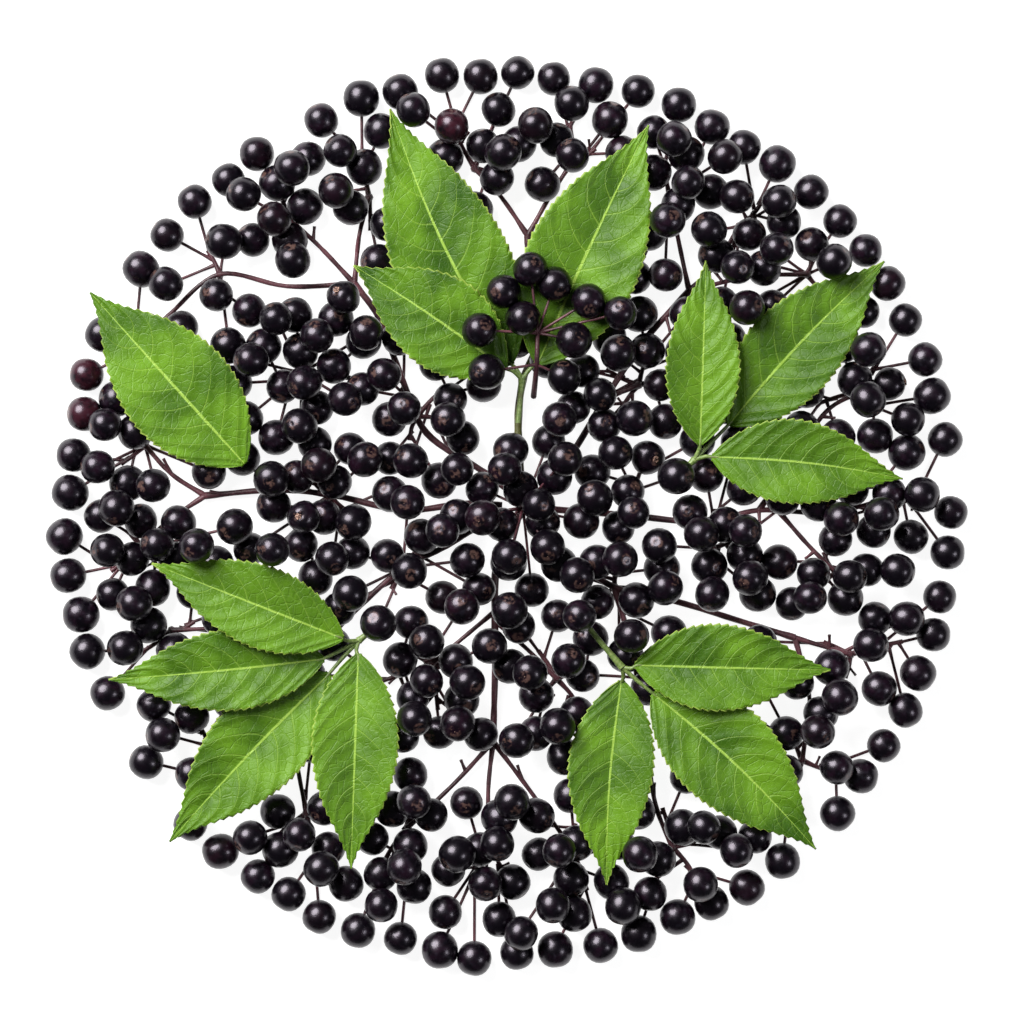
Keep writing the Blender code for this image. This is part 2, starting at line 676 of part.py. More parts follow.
def add_limb(bm, start, end, radius, sides=3):
    """A straight limb between two places in millimetres, a little longer than they are apart.

    Each is spun by an amount of its own, so that no two limbs share a face."""
    a, b = Vector(start), Vector(end)
    way = (b - a).normalized() * OVERLAP
    a, b = a - way, b + way
    spin = Matrix.Rotation(SPIN[0] * a.x + SPIN[1] * b.y, 4, "Z")
    place = Matrix.Translation((a + b) / 2 * MM) @ way.to_track_quat("Z", "Y").to_matrix().to_4x4() @ spin
    bmesh.ops.create_cone(
        bm, cap_ends=True, segments=sides, radius1=radius * MM, radius2=radius * MM,
        depth=(b - a).length * MM, matrix=place,
    )


def add_fork(bm, centre, radius):
    """The flat knot that a spray's twigs leave."""
    bmesh.ops.create_cone(
        bm, cap_ends=True, segments=6, radius1=radius * MM, radius2=radius * MM,
        depth=FORK_THICKNESS * MM, matrix=Matrix.Translation(Vector(centre) * MM),
    )


def add_tube(bm, points, first, last, tilt=0.0):
    """A bent limb as a curve's tube of four sides, which thins from its first point to its last."""
    curve = bpy.data.curves.new("tube", "CURVE")
    curve.dimensions = "3D"
    curve.bevel_depth = MM
    curve.bevel_resolution = 0
    curve.use_fill_caps = True
    spline = curve.splines.new("POLY")
    spline.points.add(len(points) - 1)
    for k, place in enumerate(points):
        spline.points[k].co = (*(Vector(place) * MM), 1.0)
        spline.points[k].radius = first + (last - first) * k / (len(points) - 1)
        spline.points[k].tilt = tilt
    drawn = bpy.data.objects.new("tube", curve)
    bpy.context.scene.collection.objects.link(drawn)
    bpy.context.view_layer.update()
    evaluated = drawn.evaluated_get(bpy.context.evaluated_depsgraph_get())
    mesh = bpy.data.meshes.new_from_object(evaluated)
    single = bmesh.new()
    single.from_mesh(mesh)
    bmesh.ops.remove_doubles(single, verts=single.verts, dist=WELD)
    bmesh.ops.recalc_face_normals(single, faces=single.faces)
    single.to_mesh(mesh)
    single.free()
    bm.from_mesh(mesh)
    bpy.data.objects.remove(drawn)
    bpy.data.meshes.remove(mesh)


def add_ball(bm, centre, radius):
    made = bmesh.ops.create_icosphere(
        bm, subdivisions=1, radius=radius * MM, matrix=Matrix.Translation(Vector(centre) * MM)
    )
    return {face for vert in made["verts"] for face in vert.link_faces}


def add_berry(bm, centre, radius, stalk_end, standing=False):
    """A berry whose face nearest its stalk is narrowed and drawn out to the stalk's end.

    A berry that stands on the table keeps its lowest corner, so that face is one beside it."""
    faces = sorted(add_ball(bm, centre, radius), key=lambda face: face.index)
    end = Vector(stalk_end) * MM
    lowest = min((vert for face in faces for vert in face.verts), key=lambda vert: vert.co.z)
    for face in faces:
        face.normal_update()

    def facing(face):
        return face.normal.dot((end - face.calc_center_median()).normalized())

    base = max(faces, key=facing)
    if standing:
        side = max((face for face in faces if lowest not in face.verts), key=facing)
        base = side if facing(side) > FACING else base
    neck = Matrix.Translation(-base.calc_center_median())
    bmesh.ops.scale(bm, verts=base.verts, vec=(NECK, NECK, NECK), space=neck)
    drawn = bmesh.ops.extrude_discrete_faces(bm, faces=[base])["faces"][0]
    middle = drawn.calc_center_median()
    thin = STALK_RADIUS * MM / (drawn.verts[0].co - middle).length
    bmesh.ops.scale(bm, verts=drawn.verts, vec=(thin, thin, thin), space=Matrix.Translation(-middle))
    bmesh.ops.translate(bm, verts=drawn.verts, vec=end - middle)


def mesh_object(name, bm, collection, *finishes):
    mesh = bpy.data.meshes.new(name)
    bm.to_mesh(mesh)
    bm.free()
    made = bpy.data.objects.new(name, mesh)
    collection.objects.link(made)
    for finish in finishes:
        mesh.materials.append(finish)
    return made


def united(name, solid, limbs, finish, parts, cutters):
    """One body of a mesh and the limbs that grow through it."""
    made = mesh_object(name, solid, parts, finish)
    grown = mesh_object(name + "_limbs", limbs, cutters)
    grown.hide_render = True
    grown.display_type = "WIRE"
    union = made.modifiers.new("grow", "BOOLEAN")
    union.operation = "UNION"
    union.solver = "EXACT"
    union.use_self = True
    union.object = grown
    return made


class Surroundings:
    """What a spray's straight stalks have to miss: other berries, the stems and the blades."""

    def __init__(self, name, cluster):
        self.fork = SPRAYS[name]
        self.berries = [
            berry
            for group in (*cluster.sprays.values(), cluster.raised)
            for berry in group
            if math.dist(self.fork, (berry.x, berry.y)) < NEARBY
        ]
        self.stems = [s for s in cluster.stems if distance_to(s[0][:2], s[1][:2], self.fork) < NEARBY]
        self.blades = [
            (*leaf.plan(s, u), leaf.height(s, u))
            for leaf in cluster.leaflets
            for s, u in leaf.samples()
            if math.dist(leaf.plan(s, u), self.fork) < NEARBY
        ]

    def clear(self, start, berry):
        end = berry.centre
        for other in self.berries:
            if other is not berry and distance_to(start, end, other.centre) < other.radius + STALK_RADIUS:
                return False
        for a, b, *radii in self.stems:
            if segment_distance(start, end, a, b) < max(radii) + NECK_RADIUS + GAP:
                return False
        return not berry.upper or all(distance_to(start, end, p) > BLADE_REACH for p in self.blades)


def build_spray(name, cluster, finish, parts, cutters):
    """A spray: its twigs, and each berry drawn out to its twig, or to where its stalk meets the table."""
    around = Surroundings(name, cluster)
    fork = (*SPRAYS[name], HUB_FORK_HEIGHT if name == CENTRE else TWIG_HEIGHT)
    solid, limbs = bmesh.new(), bmesh.new()
    add_fork(limbs, fork, FORK_RADIUS)
    for a, b in cluster.twigs[name]:
        start, end = Vector((*a, TWIG_HEIGHT)), Vector((*b, TWIG_HEIGHT))
        start += (end - start).normalized() * FORK_RADIUS
        add_limb(limbs, start, end, TWIG_RADIUS)
    used = []
    lower = [berry for berry in cluster.sprays[name] if not berry.upper]
    for berry in cluster.sprays[name]:
        anchor, foot = berry.run()
        under = holder(berry, lower) if berry.upper else None
        if under:
            end = Vector(berry.centre).lerp(Vector(under.centre), LINK)
            add_berry(solid, berry.centre, berry.radius, end)
            continue
        choices = [(*spot, TWIG_HEIGHT) for spot in anchors_on(cluster.twigs[name], used, (berry.x, berry.y))]
        start = next((place for place in (anchor, *choices) if around.clear(place, berry)), foot)
        used.append(start[:2])
        add_berry(solid, berry.centre, berry.radius, start, berry.z < STANDING * berry.radius)
        if start is foot and math.dist(anchor, foot) > STALK_RADIUS:
            add_limb(limbs, anchor, foot, STALK_RADIUS)
    return united(name, solid, limbs, finish, parts, cutters)


def build_raised_spray(cluster, finish, parts, cutters):
    solid, limbs = bmesh.new(), bmesh.new()
    height = cluster.raised_height
    path = [
        (*RAISED_TWIG[0], RAISED_START),
        (*RAISED_TWIG[1], height),
        (*RAISED_TWIG[2], height + RAISED_SLOPE),
    ]
    add_tube(limbs, path, TWIG_RADIUS, TWIG_RADIUS)
    for berry in cluster.raised:
        start = min(path[1:], key=lambda place: math.dist(place, berry.centre))
        add_berry(solid, berry.centre, berry.radius, start)
    return united(RAISED_SPRAY, solid, limbs, finish, parts, cutters)


def build_stem(name, finish, parts, cutters):
    """A stem with its branches, each grown into the limb that it leaves."""
    solid, limbs = bmesh.new(), bmesh.new()
    for number, (points, first, last) in enumerate(STEMS[name]):
        count = len(points) - 1
        path = [
            (*point, RAY_CLEARANCE + first + (last - first) * k / count) for k, point in enumerate(points)
        ]
        add_tube(limbs if number else solid, path, first, last, LIMB_TILT * number)
    return united(name, solid, limbs, finish, parts, cutters)


def build_leaf_stalk(name, cluster, finish, parts, cutters):
    """A leaf stalk, with the short stalk of each leaflet from its node."""
    path, leaves = cluster.leaf_stalks[name]
    solid, limbs = bmesh.new(), bmesh.new()
    add_tube(solid, path, PETIOLE_RADIUS, PETIOLE_RADIUS)
    add_ball(limbs, path[-1], LEAF_NODE_RADIUS)
    for leaf in leaves:
        start, end = Vector(path[-1]), Vector((*leaf.base, leaf.height(0.0, 0.0)))
        way = end - start
        if way.length > PETIOLULE_SHORTEST:
            add_limb(limbs, start, end - way.normalized() * PETIOLULE_GAP, PETIOLULE_RADIUS)
    return united(name, solid, limbs, finish, parts, cutters)


def build_leaflet(leaf, finish, parts):
    """A blade as an open sheet, folded along its midrib, with Solidify for its thickness."""
    bm = bmesh.new()
    rows = []
    for i in range(LEAF_ROWS + 1):
        s = i / LEAF_ROWS
        half = leaf.half_width(min(max(s, LEAF_ENDS[0]), LEAF_ENDS[1]))
        row = []
        for j in range(LEAF_COLUMNS + 1):
            u = half * (2.0 * j / LEAF_COLUMNS - 1.0)
            row.append(bm.verts.new(Vector((*leaf.plan(s, u), leaf.height(s, u))) * MM))
        rows.append(row)
    for lower, upper in zip(rows[:-1], rows[1:]):
        for j in range(LEAF_COLUMNS):
            bm.faces.new((lower[j], upper[j], upper[j + 1], lower[j + 1]))
    bmesh.ops.recalc_face_normals(bm, faces=bm.faces)
    made = mesh_object(leaf.name, bm, parts, finish)
    made.data.shade_smooth()
    sheet = made.modifiers.new("thickness", "SOLIDIFY")
    sheet.thickness = LEAF_THICKNESS * MM
    sheet.offset = 0.0
    return made


def clear_scene():
    for made in list(bpy.data.objects):
        bpy.data.objects.remove(made, do_unlink=True)


def new_collection(name):
    made = bpy.data.collections.new(name)
    bpy.context.scene.collection.children.link(made)
    return made


def main():
    clear_scene()
    parts, cutters = new_collection("elderberry_cluster"), new_collection("cutters")
    cutters.hide_render = True
    berry, stem, green, blade = (material(name) for name in FINISHES)
    cluster = Cluster()
    for name in STEMS:
        build_stem(name, stem, parts, cutters)
    for name in SPRAYS:
        build_spray(name, cluster, berry, parts, cutters)
    build_raised_spray(cluster, berry, parts, cutters)
    for name in LEAF_STALKS:
        build_leaf_stalk(name, cluster, green, parts, cutters)
    for leaf in cluster.leaflets:
        build_leaflet(leaf, blade, parts)


if __name__ == "__main__":
    main()
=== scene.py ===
import logging
import math
import random
from collections.abc import Iterator
from dataclasses import dataclass, field
from enum import Enum

import bmesh
import bpy
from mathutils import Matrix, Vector, noise


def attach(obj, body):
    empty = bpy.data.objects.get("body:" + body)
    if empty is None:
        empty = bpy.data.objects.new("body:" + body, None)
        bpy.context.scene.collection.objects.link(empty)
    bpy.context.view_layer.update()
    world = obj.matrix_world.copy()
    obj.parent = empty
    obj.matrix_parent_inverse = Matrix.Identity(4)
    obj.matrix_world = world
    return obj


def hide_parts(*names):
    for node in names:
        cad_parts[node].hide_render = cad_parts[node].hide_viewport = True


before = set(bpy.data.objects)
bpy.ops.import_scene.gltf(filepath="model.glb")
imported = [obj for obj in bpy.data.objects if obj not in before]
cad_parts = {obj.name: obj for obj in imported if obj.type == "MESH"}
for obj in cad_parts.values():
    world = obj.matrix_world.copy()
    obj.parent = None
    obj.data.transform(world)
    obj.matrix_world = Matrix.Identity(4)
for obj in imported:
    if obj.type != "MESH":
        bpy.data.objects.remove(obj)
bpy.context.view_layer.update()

LOG = logging.getLogger("elderberry")
BODY = "root"
MM = 0.001
VEIN_MAP = "vein_map"

Place = tuple[float, float]
Spot = tuple[float, float, float]
Colour = tuple[float, float, float]


class Layer(Enum):
    """Where in the heap a berry lies."""

    LOWER = "lower"
    UPPER = "upper"
    RAISED = "raised"


class Skin(Enum):
    """How far a berry has ripened or dried. The values number the berry forms."""

    PLUMP = 0
    SMALL_CROWN = 1
    SHRIVELLED = 2


# ---------------------------------------------------------------- the plan's sizes, in millimetres


@dataclass(frozen=True)
class BerrySizes:
    """How the berries are sown and how they rest."""

    radius: Place = (3.3, 3.64)
    rim_rows: tuple[tuple[float, int, float], ...] = ((91.4, 69, 0.9), (84.2, 65, 0.8))
    rim_uneven: float = 0.12
    inner_edge: float = 79.5
    upper_edge: float = 86.6
    spacing: float = 7.3
    spacing_play: float = 1.2
    spacing_under_leaf: float = 12.0
    under_leaf: float = 2.0
    hidden_from_stem: float = 3.0
    pit: float = 3.8
    upper_spacing: float = 8.0
    upper_spacing_outside: float = 8.2
    dense_radius: float = 52.0
    floor_tries: int = 14000
    upper_tries: int = 6000
    sowing_starts: tuple[Place, ...] = ((0.0, -10.0), (-30.0, 36.0), (36.0, 34.0), (52.0, -34.0))
    start_spacing: float = 8.0


@dataclass(frozen=True)
class StemSizes:
    """How thick the limbs are and how high they lie."""

    gap: float = 0.35
    stalk_radius: float = 0.28
    twig_radius: float = 0.4
    twig_height: float = 0.5
    ray_clearance: float = 1.25
    foot_offset: float = 2.2
    foot_turns: tuple[float, ...] = (0.0, 0.5, -0.5, 1.0, -1.0, 1.6, -1.6, 2.3, -2.3, math.pi)
    foot_near_twig: float = 0.8
    stem_margin: float = 0.65
    stalk_margin: float = 1.7
    hold_reach: float = 9.5
    group_size: float = 3.4
    twig_reach: float = 0.66
    shortest_twig: float = 5.0
    stalk_step: float = 1.1
    anchor_step: float = 0.3
    clear_of_fork: float = 1.32
    fork_radius: float = 1.1
    neck_radius: float = 0.9
    petiole_radius: float = 0.6
    petiole_least_rise: float = 5.0
    hub_fork_height: float = 4.8
    raised_start: float = 5.2
    raised_slope: float = 0.4
    raised_crossing: Place = (0.15, 4.0)
    raised_over: float = 1.6


@dataclass(frozen=True)
class BladeSizes:
    """How thick a leaf blade is and how it is arched, folded and kept off the berries."""

    thickness: float = 0.45
    arch: float = 1.3
    fold: float = 0.17
    skew: float = 0.80
    fullness: float = 0.88
    taper: float = 0.30
    taper_power: int = 5
    cover_ends: Place = (0.03, 0.97)
    sample: float = 1.5
    edge: float = 3.2
    margin: float = 0.5
    tier_margin: float = 0.8


SEED = 17
BERRIES = BerrySizes()
LIMBS = StemSizes()
BLADES = BladeSizes()
HUB = (3.0, 1.5)

# Leaflets: base, tip, width, bow to the left of the midrib, tier
LEAFLETS = {
    "leaflet_north_left": ((0.5, 31.0), (-24.5, 84.0), 24.0, 2.0, 0),
    "leaflet_north_right": ((6.0, 31.0), (29.0, 80.5), 24.0, 0.5, 1),
    "leaflet_north_low": ((-0.5, 30.0), (-32.0, 51.5), 19.5, -0.5, 2),
    "leaflet_west": ((-54.5, 10.5), (-86.5, 46.0), 23.0, 0.0, 0),
    "leaflet_east_upper": ((39.6, 14.4), (40.8, 52.5), 15.4, 0.0, 1),
    "leaflet_east_middle": ((45.5, 18.6), (77.8, 52.5), 19.5, 1.0, 0),
    "leaflet_east_lower": ((42.0, 12.0), (81.5, 7.5), 17.5, 1.0, 1),
    "leaflet_southwest_1": ((-34.0, -25.5), (-73.5, -10.0), 17.0, 0.0, 2),
    "leaflet_southwest_2": ((-38.0, -29.7), (-82.5, -34.0), 17.0, 0.3, 1),
    "leaflet_southwest_3": ((-37.0, -32.8), (-70.0, -67.5), 19.8, -0.6, 0),
    "leaflet_southwest_4": ((-31.0, -28.6), (-32.5, -73.0), 18.0, 0.0, 1),
    "leaflet_southeast_1": ((26.0, -31.0), (66.5, -32.0), 18.0, 0.0, 1),
    "leaflet_southeast_2": ((29.8, -36.8), (63.5, -69.0), 21.0, 1.2, 0),
    "leaflet_southeast_3": ((23.4, -34.2), (20.3, -76.5), 17.8, -1.0, 0),
}

# Leaf stalks: the points of the stalk, from its cut end to the node that its leaflets leave
LEAF_STALKS = {
    "leaf_stalk_north": (((2.0, 19.0), (2.8, 28.0)), ("north_left", "north_right", "north_low")),
    "leaf_stalk_east": (((34.5, 7.5), (38.5, 11.5)), ("east_upper", "east_middle", "east_lower")),
    "leaf_stalk_southwest": (
        ((-26.5, -22.5), (-31.0, -26.0)),
        ("southwest_1", "southwest_2", "southwest_3", "southwest_4"),
    ),
    "leaf_stalk_southeast": (
        ((14.0, -20.0), (18.0, -25.0), (23.5, -31.5)),
        ("southeast_1", "southeast_2", "southeast_3"),
    ),
}

# Stems: limbs as lists of points, with the radius at the first and the last of them
STEMS = {
    "main_stem": (
        (((3.0, 1.5), (2.0, 17.8), (3.0, 28.0), (6.0, 36.0), (4.5, 46.0), (4.0, 58.0)), 0.95, 0.7),
        (((4.0, 58.0), (-1.5, 66.0), (-7.0, 72.0)), 0.54, 0.48),
        (((4.0, 58.0), (8.5, 66.0), (13.0, 73.0)), 0.54, 0.48),
        (((3.0, 1.5), (-1.8, -7.0), (-2.8, -14.0), (-2.8, -32.0), (-3.2, -47.0)), 0.95, 0.7),
        (((-3.2, -47.0), (-11.0, -55.5), (-21.0, -65.0)), 0.54, 0.48),
        (((-3.2, -47.0), (-4.2, -57.0), (-4.0, -67.0)), 0.54, 0.48),
        (((-3.2, -47.0), (5.0, -58.0), (13.0, -69.0)), 0.54, 0.48),
        (((-2.8, -22.0), (4.0, -28.0), (10.0, -34.0)), 0.5, 0.48),
        (((-2.8, -20.0), (-10.0, -26.0), (-16.0, -31.0)), 0.5, 0.48),
    ),
    "ray_northeast": (
        (((6.2, 4.4), (13.0, 12.5), (20.0, 24.0), (28.0, 36.0), (37.5, 46.5)), 0.78, 0.7),
        (((37.5, 46.5), (35.3, 57.0), (33.5, 66.0)), 0.54, 0.48),
        (((37.5, 46.5), (43.0, 52.0), (48.0, 60.0)), 0.54, 0.48),
        (((37.5, 46.5), (50.0, 49.5), (62.0, 50.0)), 0.54, 0.48),
        (((20.0, 24.0), (27.0, 27.0)), 0.5, 0.48),
    ),
    "ray_east": (
        (((7.3, 1.3), (24.0, 0.0), (41.0, -1.5), (52.0, 1.0), (66.0, 0.5), (78.0, 3.0)), 0.78, 0.5),
        (((56.0, 0.9), (62.0, -6.0), (68.0, -12.0)), 0.54, 0.48),
        (((52.0, 1.0), (59.0, 11.0), (66.0, 21.5), (74.0, 26.0)), 0.58, 0.48),
        (((24.0, 0.0), (26.0, 5.0)), 0.5, 0.48),
        (((41.0, -1.5), (42.5, -7.0)), 0.5, 0.48),
    ),
    "ray_southeast": (
        (((6.5, -2.2), (12.0, -8.0), (22.0, -15.0), (35.0, -18.0), (48.0, -22.0), (59.5, -25.5)), 0.78, 0.65),
        (((59.5, -25.5), (71.0, -29.0)), 0.54, 0.48),
        (((59.5, -25.5), (62.5, -38.0), (61.0, -51.0)), 0.54, 0.48),
        (((22.0, -15.0), (26.0, -30.0), (28.5, -47.0), (30.5, -60.0), (34.0, -69.0)), 0.65, 0.5),
    ),
    "ray_southwest": (
        (
            ((-5.0, -1.5), (-14.0, -7.0), (-22.0, -11.0), (-34.0, -22.0), (-46.0, -35.0), (-62.0, -50.0)),
            0.78,
            0.54,
        ),
        (((-46.0, -35.0), (-44.0, -51.0), (-42.0, -62.0)), 0.54, 0.48),
        (((-34.0, -22.0), (-52.0, -23.0), (-70.0, -24.0)), 0.58, 0.48),
    ),
    "ray_west": (
        (((-1.3, 2.0), (-9.4, 2.3), (-22.0, 1.0), (-36.0, 4.0), (-48.0, 5.2), (-63.0, 4.0)), 0.78, 0.65),
        (((-63.0, 4.0), (-70.0, 8.5), (-75.5, 14.5)), 0.54, 0.48),
        (((-63.0, 4.0), (-71.0, -1.5), (-76.0, -7.0)), 0.54, 0.48),
    ),
    "ray_northwest": (
        (((-0.8, 5.8), (-6.0, 9.5), (-17.0, 17.0), (-22.0, 28.0), (-27.0, 41.0), (-32.0, 48.0)), 0.78, 0.7),
        (((-32.0, 48.0), (-31.0, 58.0), (-29.0, 66.0)), 0.54, 0.48),
        (((-32.0, 48.0), (-39.0, 55.5), (-45.0, 61.0)), 0.54, 0.48),
        (((-32.0, 48.0), (-46.0, 47.5), (-60.0, 50.0), (-70.0, 42.0), (-75.0, 37.0)), 0.58, 0.48),
        (((-22.0, 28.0), (-34.0, 28.5), (-43.0, 29.5)), 0.54, 0.48),
    ),
}

# Sprays: the place of each one's fork
SPRAYS = {
    "spray_north_1": (-7.0, 72.0),
    "spray_north_2": (13.0, 73.0),
    "spray_northeast_1": (33.5, 66.0),
    "spray_northeast_2": (48.0, 60.0),
    "spray_northeast_3": (62.0, 50.0),
    "spray_east_1": (74.0, 26.0),
    "spray_east_2": (78.0, 3.0),
    "spray_east_3": (68.0, -12.0),
    "spray_southeast_1": (71.0, -29.0),
    "spray_southeast_2": (61.0, -51.0),
    "spray_south_1": (34.0, -69.0),
    "spray_south_2": (13.0, -69.0),
    "spray_south_3": (-4.0, -67.0),
    "spray_south_4": (-21.0, -65.0),
    "spray_southwest_1": (-42.0, -62.0),
    "spray_southwest_2": (-62.0, -50.0),
    "spray_southwest_3": (-70.0, -24.0),
    "spray_west_1": (-76.0, -7.0),
    "spray_west_2": (-75.5, 14.5),
    "spray_west_3": (-75.0, 37.0),
    "spray_northwest_1": (-60.0, 50.0),
    "spray_northwest_2": (-45.0, 61.0),
    "spray_northwest_3": (-29.0, 66.0),
    "spray_inner_northwest_1": (-43.0, 29.5),
    "spray_inner_northwest_2": (-19.0, 20.5),
    "spray_inner_west": (-37.0, 3.9),
    "spray_inner_southwest": (-22.0, -11.0),
    "spray_inner_south_1": (-16.0, -31.0),
    "spray_inner_south_2": (10.0, -34.0),
    "spray_inner_southeast": (22.0, -15.0),
    "spray_inner_east_1": (26.0, 5.0),
    "spray_inner_east_2": (42.5, -7.0),
    "spray_inner_northeast": (27.0, 27.0),
    "spray_centre": HUB,
}
CENTRE = "spray_centre"

# The spray that lies over the leaf bases: the way of its twig, and its berries' places
RAISED_SPRAY = "spray_over_leaves"
RAISED_FOOT = [(5.2, 24.5), (5.5, 27.0)]
RAISED_TWIG = ((5.2, 24.5), (5.8, 31.0), (6.0, 37.5))
RAISED_BERRIES = (
    (-1.0, 46.0), (9.5, 47.5), (16.5, 44.0), (-6.0, 38.0), (3.0, 40.5),
    (13.5, 36.0), (23.0, 41.5), (-4.5, 29.5), (4.5, 50.5), (11.5, 28.5),
)

# Upper berries that lie over the cut ends of the leaf stalks
COVERING_BERRIES = ((2.4, 20.2), (34.6, 8.0), (-26.8, -22.3), (14.6, -20.8))

# Clearings in the berries: centre, half length, half width, tilt in degrees
CLEARINGS = (
    (4, 60, 7.5, 9, 0), (-36, 56, 5.5, 8, 0), (-40, 48.5, 9, 3, 0), (-62, 3, 9.5, 5.5, 0),
    (-4, -53, 8, 6.5, 0), (-13, -50, 6, 5, 0), (6, -56, 4, 8, 30), (38, 52, 4.5, 7, 0),
    (48, 47.5, 7, 3, 15), (33, 41, 3, 5, -30), (66, 21, 6, 4, 0), (61, -22, 14, 3, -12),
    (60, -5, 9, 3.5, -30), (48, 1.5, 9, 2.5, 0), (31, -62, 3.5, 8, 0), (-4, 22, 4, 5, 0),
    (-11, 27, 4, 2.5, 0), (-63, 42, 6, 2.2, -15), (-6, 11, 3, 3.5, 0), (6, -27, 4, 4, 0),
    (-24, -37, 3.5, 7, 0), (-69, -24, 4, 4, 0), (54, -41, 5, 2, 0), (17, 12, 4, 3, 0),
    (45, 7, 4, 4, 0), (26, -33, 4, 4, 0), (-33, -25, 3, 3, 0), (40, 12, 3, 3, 0),
)

# ---------------------------------------------------------------- plan geometry


def nearest_on(a: tuple[float, ...], b: tuple[float, ...], p: tuple[float, ...]) -> tuple[float, ...]:
    """The point of a segment that is nearest a place.

    Args:
        a: One end of the segment, in as many dimensions as the place has.
        b: Its other end.
        p: The place.

    Returns:
        The nearest point.
    """
    ab = [j - i for i, j in zip(a, b)]
    ap = [j - i for i, j in zip(a, p)]
    along = sum(i * j for i, j in zip(ab, ap)) / max(sum(i * i for i in ab), 1e-9)
    along = min(max(along, 0.0), 1.0)
    return tuple(i + along * j for i, j in zip(a, ab))


def distance_to(a: tuple[float, ...], b: tuple[float, ...], p: tuple[float, ...]) -> float:
    """The distance from the segment from a to b to the place p."""
    return math.dist(nearest_on(a, b, p), p)


def segment_distance(a: Spot, b: Spot, c: Spot, d: Spot, steps: int = 12) -> float:
    """The distance between two short segments, from points along the first.

    Args:
        a: One end of the first segment.
        b: Its other end.
        c: One end of the second segment.
        d: Its other end.
        steps: How many stretches the first segment is cut into.

    Returns:
        The smallest distance found.
    """
    points = [tuple(i + (j - i) * k / steps for i, j in zip(a, b)) for k in range(steps + 1)]
    return min(distance_to(c, d, p) for p in points)


def in_clearing(x: float, y: float) -> bool:
    """Whether a place lies in one of the gaps between the berries."""
    for cx, cy, half_length, half_width, tilt in CLEARINGS:
        turn = math.radians(tilt)
        along = (x - cx) * math.cos(turn) + (y - cy) * math.sin(turn)
        across = (y - cy) * math.cos(turn) - (x - cx) * math.sin(turn)
        if (along / half_length) ** 2 + (across / half_width) ** 2 < 1.0:
            return True
    return False


def far(x: float, y: float, spots: list[Place], spacing: float) -> bool:
    """Whether a place is at least a spacing from every one of the spots."""
    limit = spacing * spacing
    return all((x - i) ** 2 + (y - j) ** 2 > limit for i, j in spots)


@dataclass
class BladePlan:
    """A leaf blade as a height field over its own midrib: s runs from base to tip, u to the left."""

    name: str
    base: Place = (0.0, 0.0)
    width: float = 0.0
    bow: float = 0.0
    tier: int = 0
    length: float = 1.0
    along: Place = (1.0, 0.0)
    rest: float = 0.0

    def __post_init__(self) -> None:
        """Takes the blade's measures from the table of leaflets."""
        self.base, tip, self.width, self.bow, self.tier = LEAFLETS[self.name]
        self.length = math.dist(self.base, tip)
        self.along = ((tip[0] - self.base[0]) / self.length, (tip[1] - self.base[1]) / self.length)

    def half_width(self, s: float) -> float:
        """The distance from the midrib to the blade's plain edge."""
        if not 0.0 < s < 1.0:
            return 0.0
        full = math.sin(math.pi * s**BLADES.skew) ** BLADES.fullness
        return self.width / 2 * full * (1.0 - BLADES.taper * s**BLADES.taper_power)

    def bend(self, s: float) -> float:
        """How far the midrib bows to the left of its chord."""
        return self.bow * math.sin(math.pi * min(max(s, 0.0), 1.0))

    def plan(self, s: float, u: float) -> Place:
        """The place in plan of a point of the blade."""
        ax, ay = self.along
        along, across = self.length * s, u + self.bend(s)
        return self.base[0] + ax * along - ay * across, self.base[1] + ay * along + ax * across

    def local(self, x: float, y: float) -> Place:
        """The blade's own s and u of a place in plan."""
        ax, ay = self.along
        dx, dy = x - self.base[0], y - self.base[1]
        s = (dx * ax + dy * ay) / self.length
        return s, dy * ax - dx * ay - self.bend(s)

    def shape(self, s: float, u: float) -> float:
        """The height above the blade's own resting plane."""
        return BLADES.arch * math.sin(math.pi * s) + BLADES.fold * abs(u)

    def height(self, s: float, u: float) -> float:
        """The height above the table."""
        return self.rest + self.shape(s, u)

    def covers(self, x: float, y: float, margin: float) -> bool:
        """Whether the blade, grown by a margin, lies over a place."""
        s, u = self.local(x, y)
        reach = margin / self.length
        if not -reach < s < 1.0 + reach:
            return False
        low, high = BLADES.cover_ends
        return abs(u) < self.half_width(min(max(s, low), high)) + margin

    def samples(self) -> Iterator[Place]:
        """Yields s and u all over the blade, about a sample's step apart."""
        rows = int(self.length / BLADES.sample)
        for i in range(rows + 1):
            s = i / rows
            half = self.half_width(s)
            columns = max(1, int(half / BLADES.sample))
            for j in range(-columns, columns + 1):
                yield s, half * j / columns


@dataclass
class Berry:
    """A berry with its stalk: the place on its twig, and where the stalk leaves the table."""

    x: float
    y: float
    radius: float
    layer: Layer
    z: float = 0.0
    anchor: Place = (0.0, 0.0)
    foot: Place = (0.0, 0.0)
    skin: Skin = Skin.PLUMP
    redness: float = 0.0

    def __post_init__(self) -> None:
        """Stands the berry on the table, over its own stalk."""
        self.z = self.radius
        self.anchor = self.foot = (self.x, self.y)

    @property
    def upper(self) -> bool:
        """Whether the berry lies on others."""
        return self.layer is not Layer.LOWER

    @property
    def centre(self) -> Spot:
        """The middle of the berry."""
        return self.x, self.y, self.z

    def run(self) -> tuple[Spot, Spot]:
        """The stretch of stalk on the table, from twig to foot."""
        height = LIMBS.hub_fork_height if self.anchor == HUB else LIMBS.twig_height
        return (*self.anchor, height), (*self.foot, height)


Rod = tuple[Spot, Spot, float]
Ball = tuple[Spot, float]
StemRun = tuple[Spot, Spot, float, float]
Twig = tuple[Place, Place]


